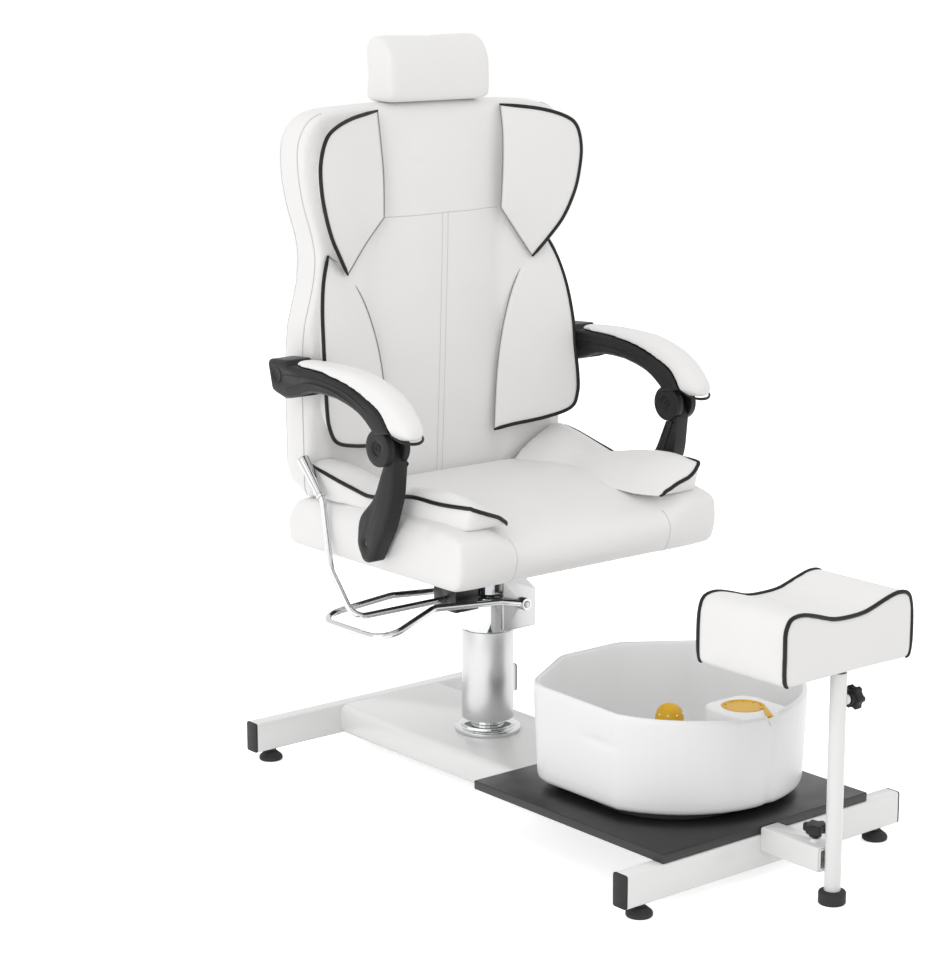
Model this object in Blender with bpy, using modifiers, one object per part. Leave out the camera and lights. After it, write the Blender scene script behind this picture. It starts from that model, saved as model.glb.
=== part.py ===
"""Pedicure chair: a reclining padded seat on a pump column, with a footboard, a foot basin and a footrest.

Metres, +Z up, the floor at z = 0, the occupant facing -Y with the left hand on +X. Every piece is drawn from
the column's axis, which an empty carries to its place behind the middle of the object's box.
"""
import math

import bmesh
import bpy
from mathutils import Matrix, Vector

# Clearances
SEAT_GAP = 0.0003
SLIDE_GAP = 0.0005
PIVOT_GAP = 0.0005
WELD = 0.00001

# Base frame and its feet
FOOT_HEIGHT = 0.022
FOOT_RADIUS = 0.021
FOOT_NUT_HEIGHT = 0.006
FOOT_NUT_RADIUS = 0.010
FOOT_STEM_RADIUS = 0.005
FOOT_STEM_REACH = 0.020
FOOT_INSET = 0.041
BAR_LENGTH = 0.608
BAR_DEPTH = 0.030
BAR_HEIGHT = 0.054
BAR_WALL = 0.002
BAR_CORNER = 0.004
CAP_THICKNESS = 0.003
CAP_PLUG = 0.012
FRONT_REACH = 0.690
REAR_REACH = 0.308
BEAM_WIDTH = 0.236
BEAM_WALL = 0.0025
BEAM_CORNER = 0.012
BOARD_WIDTH = 0.454
BOARD_LENGTH = 0.450
BOARD_THICKNESS = 0.015
BOARD_SETBACK = 0.002

# Column, pump head and lever bracket
FLANGE_RADIUS = 0.058
FLANGE_HEIGHT = 0.0137
FLANGE_STEP = 0.006
RAM_RADIUS = 0.030
RAM_LENGTH = 0.222
SLEEVE_RADIUS = 0.0455
SLEEVE_WALL = 0.0035
SLEEVE_LENGTH = 0.1617
SLEEVE_RISE = 0.024
BUSH_LENGTH = 0.028
BUSH_INSET = 0.002
COLLAR_RADIUS = 0.0465
COLLAR_HEIGHT = 0.065
COLLAR_CHAMFER = 0.003
HEAD_BORE_DEPTH = 0.058
NECK_RADIUS = 0.030
NECK_HEIGHT = 0.075
HEAD_FLANGE_RADIUS = 0.047
HEAD_FLANGE_HEIGHT = 0.007
SADDLE_SHEET = 0.004
SADDLE_FRONT = 0.007
SADDLE_REAR = 0.066
SADDLE_DROP = 0.062
SADDLE_RISE = 0.026
PUMP_PIN_RADIUS = 0.005
PUMP_PIVOT_X = 0.034
PUMP_PIVOT_DROP = 0.017

# Levers
PUMP_ROD_RADIUS = 0.0058
PUMP_EYE_RADIUS = 0.011
PUMP_EYE_WIDTH = 0.014
PUMP_REACH = 0.300
PUMP_SPREAD = 0.096
PUMP_ARCH = 0.025
PUMP_BEND = 0.030
RECLINE_ROD_RADIUS = 0.0055
RECLINE_ROD_Y = -0.010
RECLINE_ROD_DROP = 0.078
RECLINE_SIDE = 0.009
RECLINE_BEND = 0.025
RECLINE_KNEE_BACK = 0.062
RECLINE_KNEE_RISE = 0.071
RECLINE_NECK_BACK = 0.021
RECLINE_NECK_RISE = 0.117
GRIP_LEAN = math.radians(42)
RECLINE_CHANNEL_INNER = 0.055
RECLINE_CHANNEL_WIDTH = 0.050
RECLINE_CHANNEL_DEPTH = 0.060
RECLINE_CHANNEL_SHEET = 0.004
RECLINE_CHANNEL_DROP = 0.097
GRIP_LENGTH = 0.080
GRIP_FOOT_RADIUS = 0.0085
GRIP_TOP_RADIUS = 0.0115
GRIP_SOCKET = 0.020

# Seat
TRAY_WIDTH = 0.260
TRAY_DEPTH = 0.220
TRAY_SKIRT = 0.030
TRAY_SHEET = 0.004
PAN_INSET = 0.016
PAN_SETBACK = 0.020
PAN_THICKNESS = 0.012
SEAT_WIDTH = 0.524
SEAT_COVER = 0.024
SEAT_FRONT = 0.280
SEAT_REAR = 0.202
SEAT_THICKNESS = 0.1053
SEAT_NOSE_DROP = 0.041
SEAT_TAIL_DROP = 0.031
SEAT_EDGE = 0.014
BOLSTER_WIDTH = 0.126
BOLSTER_OVERHANG = 0.014
BOLSTER_FRONT = 0.262
BOLSTER_REAR = 0.096
BOLSTER_HEIGHT = 0.053
BOLSTER_THIN = 0.016
BOLSTER_EDGE = 0.006

# Recline hinge and the uprights in the back
HINGE_Y = 0.160
HINGE_RISE = 0.0783
HINGE_SHEET = 0.004
HINGE_EYE = 0.018
HINGE_PIN_RADIUS = 0.006
HINGE_PIN_HEAD = 0.003
HINGE_FOOT = 0.050
UPRIGHT_WIDTH = 0.032
STUD_RADIUS = 0.006
STUD_LUG = 0.012
STUD_SETBACK = 0.025
STUD_RISE = 0.2371

# Back
BACK_OVERHANG = 0.023
BACK_WAIST = 0.017
BACK_GAP = 0.006
BACK_HEIGHT = 0.638
BACK_THICKNESS = 0.089
BACK_FACE = 0.118
BACK_CORNER = 0.050
BACK_FOOT_CORNER = 0.030
BACK_EDGE = 0.018
WING_THIN = 0.014
WING_THICK = 0.036
LUMBAR_THIN = 0.006
LUMBAR_THICK = 0.038
PAD_EDGE = 0.006

# Headrest
PILLOW_WIDTH = 0.204
PILLOW_DEPTH = 0.080
PILLOW_HEIGHT = 0.115
PILLOW_RISE = 0.006
PILLOW_CORNER = 0.032
PILLOW_EDGE = 0.012
POST_SPACING = 0.110
POST_RADIUS = 0.005
POST_DEPTH = 0.115

# Arms
ARM_GAP = 0.006
ARM_WIDTH = 0.054
ARM_PAD_OVERHANG = 0.003
ARM_SPAN = 0.267
ARM_RISE = 0.085
ARM_STUD_SLACK = 0.006
ARM_BLOCK_REAR = 0.022
ARM_BLOCK_DROP = 0.030
ARM_BLOCK_RISE = 0.024
ARM_BLOCK_CORNER = 0.008
ARM_WALL = 0.010
ARM_CHANNEL = 0.016
ARM_PAD_TIP = 0.024
LINK_LEAN = 0.048
LINK_RISE = 0.166
KNUCKLE_RADIUS = 0.031
KNUCKLE_INSET = 0.009
CHEEK_WIDTH = 0.008
AXLE_RADIUS = 0.007
LINK_TOP_RADIUS = 0.016
LINK_BODY_INSET = 0.006
LINK_PIN_RADIUS = 0.006
LINK_SPACER_RADIUS = 0.014
ARM_PAD_EDGE = 0.005
ARM_EDGE = 0.004

# Footrest
SOCKET_SIZE = 0.040
SOCKET_WALL = 0.0025
SOCKET_CORNER = 0.004
SOCKET_LENGTH = 0.1205
SOCKET_RISE = 0.0265
RAIL_WALL = 0.0025
RAIL_INSERT = 0.112
TUBE_RADIUS = 0.0129
TUBE_WALL = 0.0019
TUBE_TOP = 0.366
TUBE_FOOT_RADIUS = 0.0214
TUBE_FOOT_HEIGHT = 0.021
TUBE_FOOT_PLUG = 0.020
STEM_LENGTH = 0.170
STEM_WALL = 0.002
PLATE_WIDTH = 0.200
PLATE_THICKNESS = 0.004
PLATE_SETBACK = 0.008
REST_WIDTH = 0.282
REST_DEPTH = 0.190
REST_OVERHANG = 0.024
REST_HEIGHT = 0.109
REST_DIP = 0.021
REST_EDGE = 0.010
REST_CORNER = 0.018

# Star knobs
KNOB_RADIUS = 0.0203
KNOB_LOBE = 0.0028
KNOB_LOBES = 6
KNOB_HEIGHT = 0.014
KNOB_HUB_RADIUS = 0.010
KNOB_HUB_HEIGHT = 0.006
KNOB_EDGE = 0.0025
BOSS_RADIUS = 0.0085
BOSS_HEIGHT = 0.006
KNOB_STUD_RADIUS = 0.004
KNOB_STANDOFF = 0.003
RAIL_KNOB_REACH = 0.096
POST_KNOB_Z = 0.321

# Foot basin
BASIN_X = 0.018
BASIN_FRONT = 0.642
BASIN_SIDE_REAR = 0.325
BASIN_REAR = 0.240
BASIN_FRONT_WIDTH = 0.412
BASIN_SIDE_WIDTH = 0.356
BASIN_REAR_WIDTH = 0.124
BASIN_FRONT_CORNER = 0.150
BASIN_REAR_CORNER = 0.030
BASIN_WALL = 0.004
BASIN_REAR_RIM = 0.180
BASIN_FRONT_RIM = 0.167
BASIN_BASE_HEIGHT = 0.010
BASIN_BASE_INSET = 0.022
BASIN_TAPER = 0.006
BASIN_FLOOR_ROUND = 0.020
RIDGE_WIDTH = 0.050
RIDGE_LENGTH = 0.150
RIDGE_EDGE = 0.020
DOME_X = 0.020
DOME_Y = -0.440
DOME_TOP = 0.223
DOME_RADIUS = 0.0235
DOME_HEIGHT = 0.030
LID_X = 0.068
LID_Y = -0.560
LID_TOP = 0.238
LID_RADIUS = 0.035
LID_HEIGHT = 0.008
POCKET_WIDTH = 0.096
POCKET_REAR = 0.050
POCKET_DEPTH = 0.038
POCKET_EDGE = 0.024
STRAINER_RADIUS = 0.004
NOTCH_X = 0.106
NOTCH_WIDTH = 0.014
NOTCH_DEPTH = 0.013

# Heights and places worked out from the sizes above
BAR_TOP = FOOT_HEIGHT + BAR_HEIGHT
PAN_WIDTH = SEAT_WIDTH - 2 * PAN_INSET
PAN_FRONT = SEAT_FRONT - PAN_SETBACK
PAN_REAR = SEAT_REAR - PAN_INSET
BOLSTER_OUTER = SEAT_WIDTH / 2 + BOLSTER_OVERHANG
BOLSTER_INNER = BOLSTER_OUTER - BOLSTER_WIDTH
BACK_WIDTH = SEAT_WIDTH + 2 * BACK_OVERHANG
COLUMN_FLOOR = BAR_TOP + SEAT_GAP
SLEEVE_BOTTOM = BAR_TOP + SLEEVE_RISE
SLEEVE_TOP = SLEEVE_BOTTOM + SLEEVE_LENGTH
COLLAR_BOTTOM = SLEEVE_TOP + SEAT_GAP
COLLAR_TOP = COLLAR_BOTTOM + COLLAR_HEIGHT
HEAD_TOP = COLLAR_TOP + NECK_HEIGHT + HEAD_FLANGE_HEIGHT
TRAY_ROOF = HEAD_TOP + SEAT_GAP
TRAY_TOP = TRAY_ROOF + TRAY_SHEET
PAN_BOTTOM = TRAY_TOP + SEAT_GAP
SEAT_BOTTOM = PAN_BOTTOM
SEAT_TOP = SEAT_BOTTOM + SEAT_THICKNESS
HINGE_Z = SEAT_BOTTOM + HINGE_RISE
BACK_BOTTOM = SEAT_TOP + BACK_GAP
BACK_TOP = BACK_BOTTOM + BACK_HEIGHT
ARM_STUD_Y = HINGE_Y - STUD_SETBACK
ARM_STUD_Z = HINGE_Z + STUD_RISE
KNUCKLE_Y = ARM_STUD_Y - ARM_SPAN
KNUCKLE_Z = ARM_STUD_Z - ARM_RISE
LINK_PIVOT_Y = KNUCKLE_Y + LINK_LEAN
LINK_PIVOT_Z = KNUCKLE_Z - LINK_RISE
SEAT_SIDE = SEAT_WIDTH / 2 + SEAT_GAP
UPRIGHT_SIDE = SEAT_SIDE + HINGE_SHEET + PIVOT_GAP
ARM_INNER = BACK_WIDTH / 2 + ARM_GAP
ARM_OUTER = ARM_INNER + ARM_WIDTH
CHEEK_INNER = ARM_INNER + KNUCKLE_INSET
CHEEK_OUTER = ARM_OUTER - KNUCKLE_INSET
TONGUE_INNER = CHEEK_INNER + CHEEK_WIDTH + PIVOT_GAP
TONGUE_OUTER = CHEEK_OUTER - CHEEK_WIDTH - PIVOT_GAP
LINK_INNER = ARM_INNER + LINK_BODY_INSET
RECLINE_REACH = ARM_INNER + RECLINE_SIDE
SADDLE_CHEEK = COLLAR_RADIUS + SLIDE_GAP
PUMP_PIVOT_Z = COLLAR_TOP - PUMP_PIVOT_DROP
PUMP_ARM_Y = SADDLE_CHEEK + SADDLE_SHEET + PIVOT_GAP + PUMP_EYE_WIDTH / 2
RECLINE_ROD_Z = TRAY_ROOF - RECLINE_ROD_DROP
TUBE_Y = -(FRONT_REACH + SOCKET_LENGTH + SLIDE_GAP + TUBE_RADIUS)
SOCKET_BOTTOM = FOOT_HEIGHT + SOCKET_RISE
SOCKET_TOP = SOCKET_BOTTOM + SOCKET_SIZE
PLATE_BOTTOM = TUBE_TOP + SLIDE_GAP
REST_BOTTOM = PLATE_BOTTOM + PLATE_THICKNESS + SEAT_GAP
REST_FRONT = TUBE_Y - REST_OVERHANG
BOARD_TOP = BAR_TOP + SEAT_GAP + BOARD_THICKNESS
BASIN_BASE_BOTTOM = BOARD_TOP + SEAT_GAP
BASIN_BOTTOM = BASIN_BASE_BOTTOM + BASIN_BASE_HEIGHT + SEAT_GAP
BASIN_FLOOR = BASIN_BOTTOM + BASIN_WALL
REAR_FOOT = REAR_REACH - BAR_DEPTH / 2 + FOOT_RADIUS
COLUMN_Y = (-REST_FRONT - REAR_FOOT) / 2

SIDES = {"left": 1, "right": -1}
TURN = {
    "X": Matrix(((0, 0, 1, 0), (1, 0, 0, 0), (0, 1, 0, 0), (0, 0, 0, 1))),
    "Y": Matrix(((1, 0, 0, 0), (0, 0, 1, 0), (0, 1, 0, 0), (0, 0, 0, 1))),
    "Z": Matrix.Identity(4),
}
ALONG = {"X": Vector((1, 0, 0)), "Y": Vector((0, 1, 0)), "Z": Vector((0, 0, 1))}


def make_material(name, colour, roughness, metallic=0.0):
    material = bpy.data.materials.new(name)
    material.use_nodes = True
    shader = material.node_tree.nodes["Principled BSDF"]
    shader.inputs["Base Color"].default_value = (*colour, 1.0)
    shader.inputs["Roughness"].default_value = roughness
    shader.inputs["Metallic"].default_value = metallic
    return material


def joint_axis(name, location, carrier=None):
    """Empty on a joint's axis; what it carries keeps its place in the column's coordinates."""
    axis = bpy.data.objects.new(name, None)
    axis.location = location
    parts.objects.link(axis)
    if carrier:
        hang(axis, carrier)
    return axis


def hang(item, carrier):
    item.parent = carrier
    if carrier is not column:
        item.matrix_parent_inverse = Matrix.Translation(-carrier.location)


def add_piece(name, mesh, material, carrier):
    piece = bpy.data.objects.new(name, mesh)
    mesh.materials.append(material)
    mesh.shade_smooth()
    mesh.set_sharp_from_angle(angle=math.radians(35))
    parts.objects.link(piece)
    hang(piece, carrier)
    return piece


def combine(piece, mesh, operation):
    """Join a shape to a piece, or cut it out of the piece; the shape is kept as a hidden tool."""
    tool = bpy.data.objects.new(piece.name + "_tool", mesh)
    cutters.objects.link(tool)
    tool.hide_render = True
    tool.display_type = "WIRE"
    tool.parent = column
    modifier = piece.modifiers.new(operation.lower(), "BOOLEAN")
    modifier.operation = operation
    modifier.object = tool


def join(piece, mesh):
    combine(piece, mesh, "UNION")


def cut(piece, mesh):
    combine(piece, mesh, "DIFFERENCE")


def round_edges(piece, width, segments=2):
    modifier = piece.modifiers.new("round", "BEVEL")
    modifier.width = width
    modifier.segments = segments
    modifier.limit_method = "ANGLE"
    modifier.angle_limit = math.radians(40)


def round_rims(piece, axis, width, segments=1):
    """Round only the rims of a plate's two faces, not the corners along its thickness."""
    way = "XYZ".index(axis)
    weights = piece.data.attributes.new("bevel_weight_edge", "FLOAT", "EDGE")
    for edge in piece.data.edges:
        first, second = (piece.data.vertices[index].co for index in edge.vertices)
        weights.data[edge.index].value = float(abs(first[way] - second[way]) < WELD)
    modifier = piece.modifiers.new("round", "BEVEL")
    modifier.width = width
    modifier.segments = segments
    modifier.limit_method = "WEIGHT"


def mesh_from(shape, name):
    bmesh.ops.recalc_face_normals(shape, faces=shape.faces)
    mesh = bpy.data.meshes.new(name)
    shape.to_mesh(mesh)
    shape.free()
    return mesh


def loft(loops, name):
    """Closed body through loops of as many points each, with a face on the first and on the last."""
    shape = bmesh.new()
    rows = [[shape.verts.new(point) for point in loop] for loop in loops]
    for row, following in zip(rows, rows[1:]):
        for index in range(len(row)):
            shape.faces.new((row[index - 1], row[index], following[index], following[index - 1]))
    shape.faces.new(reversed(rows[0]))
    shape.faces.new(rows[-1])
    return mesh_from(shape, name)


def curve_mesh(curve):
    """Closed mesh of a curve, with its caps welded and its flat faces merged."""
    maker = bpy.data.objects.new(curve.name, curve)
    cutters.objects.link(maker)
    depsgraph = bpy.context.evaluated_depsgraph_get()
    raw = bpy.data.meshes.new_from_object(maker.evaluated_get(depsgraph))
    bpy.data.objects.remove(maker)
    shape = bmesh.new()
    shape.from_mesh(raw)
    bmesh.ops.remove_doubles(shape, verts=shape.verts, dist=WELD)
    flat = math.radians(0.5)
    bmesh.ops.dissolve_limit(shape, angle_limit=flat, verts=shape.verts, edges=shape.edges)
    return mesh_from(shape, curve.name)


def plate(outlines, axis, start, end):
    """Flat piece from one outline, and any holes in it, thick from start to end along an axis.

    The outline's two coordinates are (y, z) along X, (x, z) along Y and (x, y) along Z.
    """
    curve = bpy.data.curves.new("plate", "CURVE")
    curve.dimensions = "2D"
    curve.fill_mode = "BOTH"
    curve.extrude = abs(end - start) / 2
    for outline in outlines:
        spline = curve.splines.new("POLY")
        spline.points.add(len(outline) - 1)
        for point, (first, second) in zip(spline.points, outline):
            point.co = (first, second, 0.0, 1.0)
        spline.use_cyclic_u = True
    mesh = curve_mesh(curve)
    mesh.transform(Matrix.Translation(ALONG[axis] * (start + end) / 2) @ TURN[axis])
    return outward(mesh)


def outward(mesh):
    shape = bmesh.new()
    shape.from_mesh(mesh)
    bmesh.ops.recalc_face_normals(shape, faces=shape.faces)
    shape.to_mesh(mesh)
    shape.free()
    return mesh


def rod(path, radius):
    """Round rod along a path of points."""
    curve = bpy.data.curves.new("rod", "CURVE")
    curve.dimensions = "3D"
    curve.bevel_depth = radius
    curve.bevel_resolution = 2
    curve.use_fill_caps = True
    spline = curve.splines.new("POLY")
    spline.points.add(len(path) - 1)
    for point, place in zip(spline.points, path):
        point.co = (*place, 1.0)
    return curve_mesh(curve)


def box(low, high):
    shape = bmesh.new()
    bmesh.ops.create_cube(shape, size=1.0)
    size = Vector(high) - Vector(low)
    bmesh.ops.scale(shape, vec=size, verts=shape.verts)
    bmesh.ops.translate(shape, vec=(Vector(low) + Vector(high)) / 2, verts=shape.verts)
    return mesh_from(shape, "box")


def cylinder(axis, start, end, centre, radius, segments=16):
    """Cylinder from start to end along an axis; the centre is given as for a plate's outline."""
    shape = bmesh.new()
    length = abs(end - start)
    bmesh.ops.create_cone(shape, cap_ends=True, segments=segments, radius1=radius, radius2=radius,
                          depth=length)
    place = Matrix.Translation(TURN[axis] @ Vector((*centre, (start + end) / 2)))
    bmesh.ops.transform(shape, matrix=place @ TURN[axis], verts=shape.verts)
    return mesh_from(shape, "cylinder")


def turned(name, profile, material, carrier, steps=24, closed=False):
    """Piece turned about its own Z axis from a profile of (radius, z) that runs down its outer side."""
    shape = bmesh.new()
    points = [shape.verts.new((radius, 0.0, z)) for radius, z in profile]
    for first, second in zip(points, points[1:] + points[:1] if closed else points[1:]):
        shape.edges.new((first, second))
    mesh = bpy.data.meshes.new(name)
    shape.to_mesh(mesh)
    shape.free()
    piece = add_piece(name, mesh, material, carrier)
    screw = piece.modifiers.new("turn", "SCREW")
    screw.steps = steps
    screw.render_steps = steps
    screw.use_merge_vertices = True
    screw.merge_threshold = WELD
    return piece


def fillet(points, radius, steps=4, closed=True):
    """Round the corners of a polyline with arcs; one radius for all corners, or one for each."""
    radii = radius if isinstance(radius, (list, tuple)) else [radius] * len(points)
    corners = [Vector(point) for point in points]
    rounded = []
    for index, corner in enumerate(corners):
        at_end = not closed and index in (0, len(corners) - 1)
        if at_end or radii[index] == 0:
            rounded.append(corner)
            continue
        back = corners[index - 1] - corner
        ahead = corners[(index + 1) % len(corners)] - corner
        angle = back.angle(ahead)
        room = 0.49 * min(back.length, ahead.length)
        tangent = min(radii[index] / math.tan(angle / 2), room)
        turn = math.pi - angle
        if turn < 0.01:
            rounded.append(corner)
            continue
        start = back.normalized() * tangent
        end = ahead.normalized() * tangent
        centre = (start + end) / (2 * math.cos(angle / 2) ** 2)
        for step in range(steps + 1):
            share = step / steps
            first = math.sin((1 - share) * turn) / math.sin(turn)
            second = math.sin(share * turn) / math.sin(turn)
            rounded.append(corner + centre + (start - centre) * first + (end - centre) * second)
    return [tuple(point) for point in rounded]


def rectangle(centre, width, height, corner):
    across, up = centre
    corners = [(across + a * width / 2, up + b * height / 2) for a, b in ((-1, -1), (1, -1), (1, 1), (-1, 1))]
    return fillet(corners, corner, 3)


def section(centre, width, height, corner, wall):
    """Outline of a rectangular tube, with the hole in it."""
    inner = rectangle(centre, width - 2 * wall, height - 2 * wall, corner - wall / 2)
    return [rectangle(centre, width, height, corner), inner]


def ring(centre, radius, count=24):
    turns = [2 * math.pi * step / count for step in range(count)]
    return [(centre[0] + radius * math.cos(turn), centre[1] + radius * math.sin(turn)) for turn in turns]


def shift(outline, up):
    return [(first, second + up) for first, second in outline]


# Base frame: two crossbars and the wide beam between them
def base_frame():
    height = FOOT_HEIGHT + BAR_HEIGHT / 2
    front = -FRONT_REACH + BAR_DEPTH / 2
    rear = REAR_REACH - BAR_DEPTH / 2
    half = BAR_LENGTH / 2 - CAP_THICKNESS - SEAT_GAP
    for end, y in (("front", front), ("rear", rear)):
        tube = section((y, height), BAR_DEPTH, BAR_HEIGHT, BAR_CORNER, BAR_WALL)
        bar = add_piece(end + "_crossbar", plate(tube, "X", -half, half), white_paint, column)
        for side, sign in SIDES.items():
            foot_x = sign * (BAR_LENGTH / 2 - FOOT_INSET)
            hole = FOOT_STEM_RADIUS + SLIDE_GAP
            cut(bar, cylinder("Z", FOOT_HEIGHT - BAR_WALL, FOOT_HEIGHT + 2 * BAR_WALL, (foot_x, y), hole, 16))
            bar_cap(f"bar_cap_{end}_{side}", sign, (y, height))
            levelling_foot(f"levelling_foot_{end}_{side}", foot_x, y)
    beam = section((0, height), BEAM_WIDTH, BAR_HEIGHT, BEAM_CORNER, BEAM_WALL)
    beam_front = -FRONT_REACH + BAR_DEPTH + SEAT_GAP
    beam_rear = REAR_REACH - BAR_DEPTH - SEAT_GAP
    add_piece("base_beam", plate(beam, "Y", beam_front, beam_rear), white_paint, column)


def bar_cap(name, sign, centre):
    outer = BAR_LENGTH / 2
    face = rectangle(centre, BAR_DEPTH, BAR_HEIGHT, BAR_CORNER)
    cap = add_piece(name, plate([face], "X", sign * (outer - CAP_THICKNESS), sign * outer), black_plastic,
                    column)
    inset = 2 * (BAR_WALL + SEAT_GAP)
    plug = rectangle(centre, BAR_DEPTH - inset, BAR_HEIGHT - inset, BAR_CORNER - BAR_WALL / 2)
    plug_start = outer - CAP_THICKNESS - CAP_PLUG
    join(cap, plate([plug], "X", sign * plug_start, sign * (outer - CAP_THICKNESS / 2)))


def levelling_foot(name, x, y):
    axis = joint_axis(name + "_axis", (x, y, 0), column)
    nut_top = FOOT_HEIGHT - SEAT_GAP
    nut_bottom = nut_top - FOOT_NUT_HEIGHT
    rim = FOOT_HEIGHT * 0.3
    profile = [
        (0, FOOT_HEIGHT + FOOT_STEM_REACH), (FOOT_STEM_RADIUS, FOOT_HEIGHT + FOOT_STEM_REACH),
        (FOOT_STEM_RADIUS, nut_top), (FOOT_NUT_RADIUS, nut_top), (FOOT_NUT_RADIUS, nut_bottom),
        (FOOT_RADIUS * 0.75, nut_bottom), (FOOT_RADIUS, rim), (FOOT_RADIUS, rim * 0.2),
        (FOOT_RADIUS * 0.95, 0), (0, 0),
    ]
    foot = turned(name, profile, black_plastic, axis, 16)
    foot.location = (x, y, 0)


def footboard():
    front = -FRONT_REACH + BOARD_SETBACK
    half = BOARD_WIDTH / 2
    low = (-half, front, BAR_TOP + SEAT_GAP)
    board = add_piece("footboard", box(low, (half, front + BOARD_LENGTH, BOARD_TOP)), black_board, column)
    round_edges(board, BOARD_THICKNESS * 0.1)


# Column: flange and ram stay on the beam, sleeve and bush rise, the pump head swivels on the sleeve
def column_pieces():
    step = FLANGE_RADIUS - FLANGE_STEP
    top = COLUMN_FLOOR + FLANGE_HEIGHT
    profile = [(0, top), (step, top), (step, COLUMN_FLOOR + FLANGE_HEIGHT * 0.6),
               (FLANGE_RADIUS, COLUMN_FLOOR + FLANGE_HEIGHT * 0.5), (FLANGE_RADIUS, COLUMN_FLOOR),
               (0, COLUMN_FLOOR)]
    turned("column_flange", profile, chrome, column)
    ram_bottom = top + SEAT_GAP
    ram_top = ram_bottom + RAM_LENGTH
    turned("column_ram", [(0, ram_top), (RAM_RADIUS, ram_top), (RAM_RADIUS, ram_bottom), (0, ram_bottom)],
           chrome, column)
    bore = SLEEVE_RADIUS - SLEEVE_WALL
    profile = [(bore, SLEEVE_TOP), (SLEEVE_RADIUS, SLEEVE_TOP), (SLEEVE_RADIUS, SLEEVE_BOTTOM),
               (bore, SLEEVE_BOTTOM)]
    turned("column_sleeve", profile, satin_steel, lift, closed=True)
    bush_bottom = SLEEVE_BOTTOM + BUSH_INSET
    bush_bore = RAM_RADIUS + SEAT_GAP
    bush_outer = bore - SEAT_GAP
    profile = [(bush_bore, bush_bottom + BUSH_LENGTH), (bush_outer, bush_bottom + BUSH_LENGTH),
               (bush_outer, bush_bottom), (bush_bore, bush_bottom)]
    turned("sleeve_bush", profile, nylon, lift, closed=True)
    head_bore = RAM_RADIUS + 3 * SLIDE_GAP
    flange_bottom = HEAD_TOP - HEAD_FLANGE_HEIGHT
    profile = [
        (0, HEAD_TOP), (HEAD_FLANGE_RADIUS, HEAD_TOP), (HEAD_FLANGE_RADIUS, flange_bottom),
        (NECK_RADIUS, flange_bottom), (NECK_RADIUS, COLLAR_TOP), (COLLAR_RADIUS - COLLAR_CHAMFER, COLLAR_TOP),
        (COLLAR_RADIUS, COLLAR_TOP - COLLAR_CHAMFER), (COLLAR_RADIUS, COLLAR_BOTTOM),
        (head_bore, COLLAR_BOTTOM),
        (head_bore, COLLAR_BOTTOM + HEAD_BORE_DEPTH), (0, COLLAR_BOTTOM + HEAD_BORE_DEPTH),
    ]
    turned("pump_head", profile, chrome, seat)


def lever_bracket():
    """Steel saddle on the collar's shoulder, with a stud on each cheek for the pump lever."""
    bottom = COLLAR_TOP - SADDLE_DROP
    deck = COLLAR_TOP + SEAT_GAP
    top = deck + SADDLE_SHEET + SADDLE_RISE
    cheek = [(-SADDLE_FRONT, bottom), (SADDLE_REAR, bottom), (SADDLE_REAR, top - SADDLE_RISE),
             (SADDLE_REAR - SADDLE_RISE, top), (-SADDLE_FRONT, top)]
    outer = SADDLE_CHEEK + SADDLE_SHEET
    saddle = add_piece("lever_bracket", box((-SADDLE_FRONT, -outer, deck),
                                            (SADDLE_REAR, outer, deck + SADDLE_SHEET)),
                       satin_steel, seat)
    cut(saddle, cylinder("Z", deck - SADDLE_SHEET, deck + 2 * SADDLE_SHEET, (0, 0),
                         NECK_RADIUS + 2 * SLIDE_GAP, 24))
    for sign in SIDES.values():
        join(saddle, plate([fillet(cheek, SADDLE_SHEET, 2)], "Y", sign * SADDLE_CHEEK, sign * outer))
        stud_end = outer + PIVOT_GAP + PUMP_EYE_WIDTH + PIVOT_GAP
        stud_start = outer - SADDLE_SHEET / 2
        centre = (PUMP_PIVOT_X, PUMP_PIVOT_Z)
        join(saddle, cylinder("Y", sign * stud_start, sign * stud_end, centre, PUMP_PIN_RADIUS, 12))


def pump_lever():
    """Rod bent to a U round the column: an eye on each side, and the pedal bar across its end."""
    pivot = (PUMP_PIVOT_X, PUMP_PIVOT_Z)
    axis = joint_axis("pump_lever_axis", (pivot[0], 0, pivot[1]), seat)
    near = [pivot, (-PUMP_REACH * 0.07, PUMP_PIVOT_Z + PUMP_ARCH / 2),
            (-PUMP_REACH * 0.56, PUMP_PIVOT_Z + PUMP_ARCH)]
    front = [(x, -PUMP_ARM_Y, z) for x, z in near]
    rear = [(x, PUMP_ARM_Y, z) for x, z in reversed(near)]
    pedal = [(-PUMP_REACH, -PUMP_SPREAD, PUMP_PIVOT_Z), (-PUMP_REACH, PUMP_SPREAD, PUMP_PIVOT_Z)]
    path = fillet(front + pedal + rear, PUMP_BEND, 3, closed=False)
    lever = add_piece("pump_lever", rod(path, PUMP_ROD_RADIUS), chrome, axis)
    for sign in SIDES.values():
        inner = sign * (PUMP_ARM_Y - PUMP_EYE_WIDTH / 2)
        outer = sign * (PUMP_ARM_Y + PUMP_EYE_WIDTH / 2)
        join(lever, cylinder("Y", inner, outer, pivot, PUMP_EYE_RADIUS, 16))
    for sign in SIDES.values():
        inner = sign * (PUMP_ARM_Y - PUMP_EYE_WIDTH)
        outer = sign * (PUMP_ARM_Y + PUMP_EYE_WIDTH)
        cut(lever, cylinder("Y", inner, outer, pivot, PUMP_PIN_RADIUS + PIVOT_GAP, 12))


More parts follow.
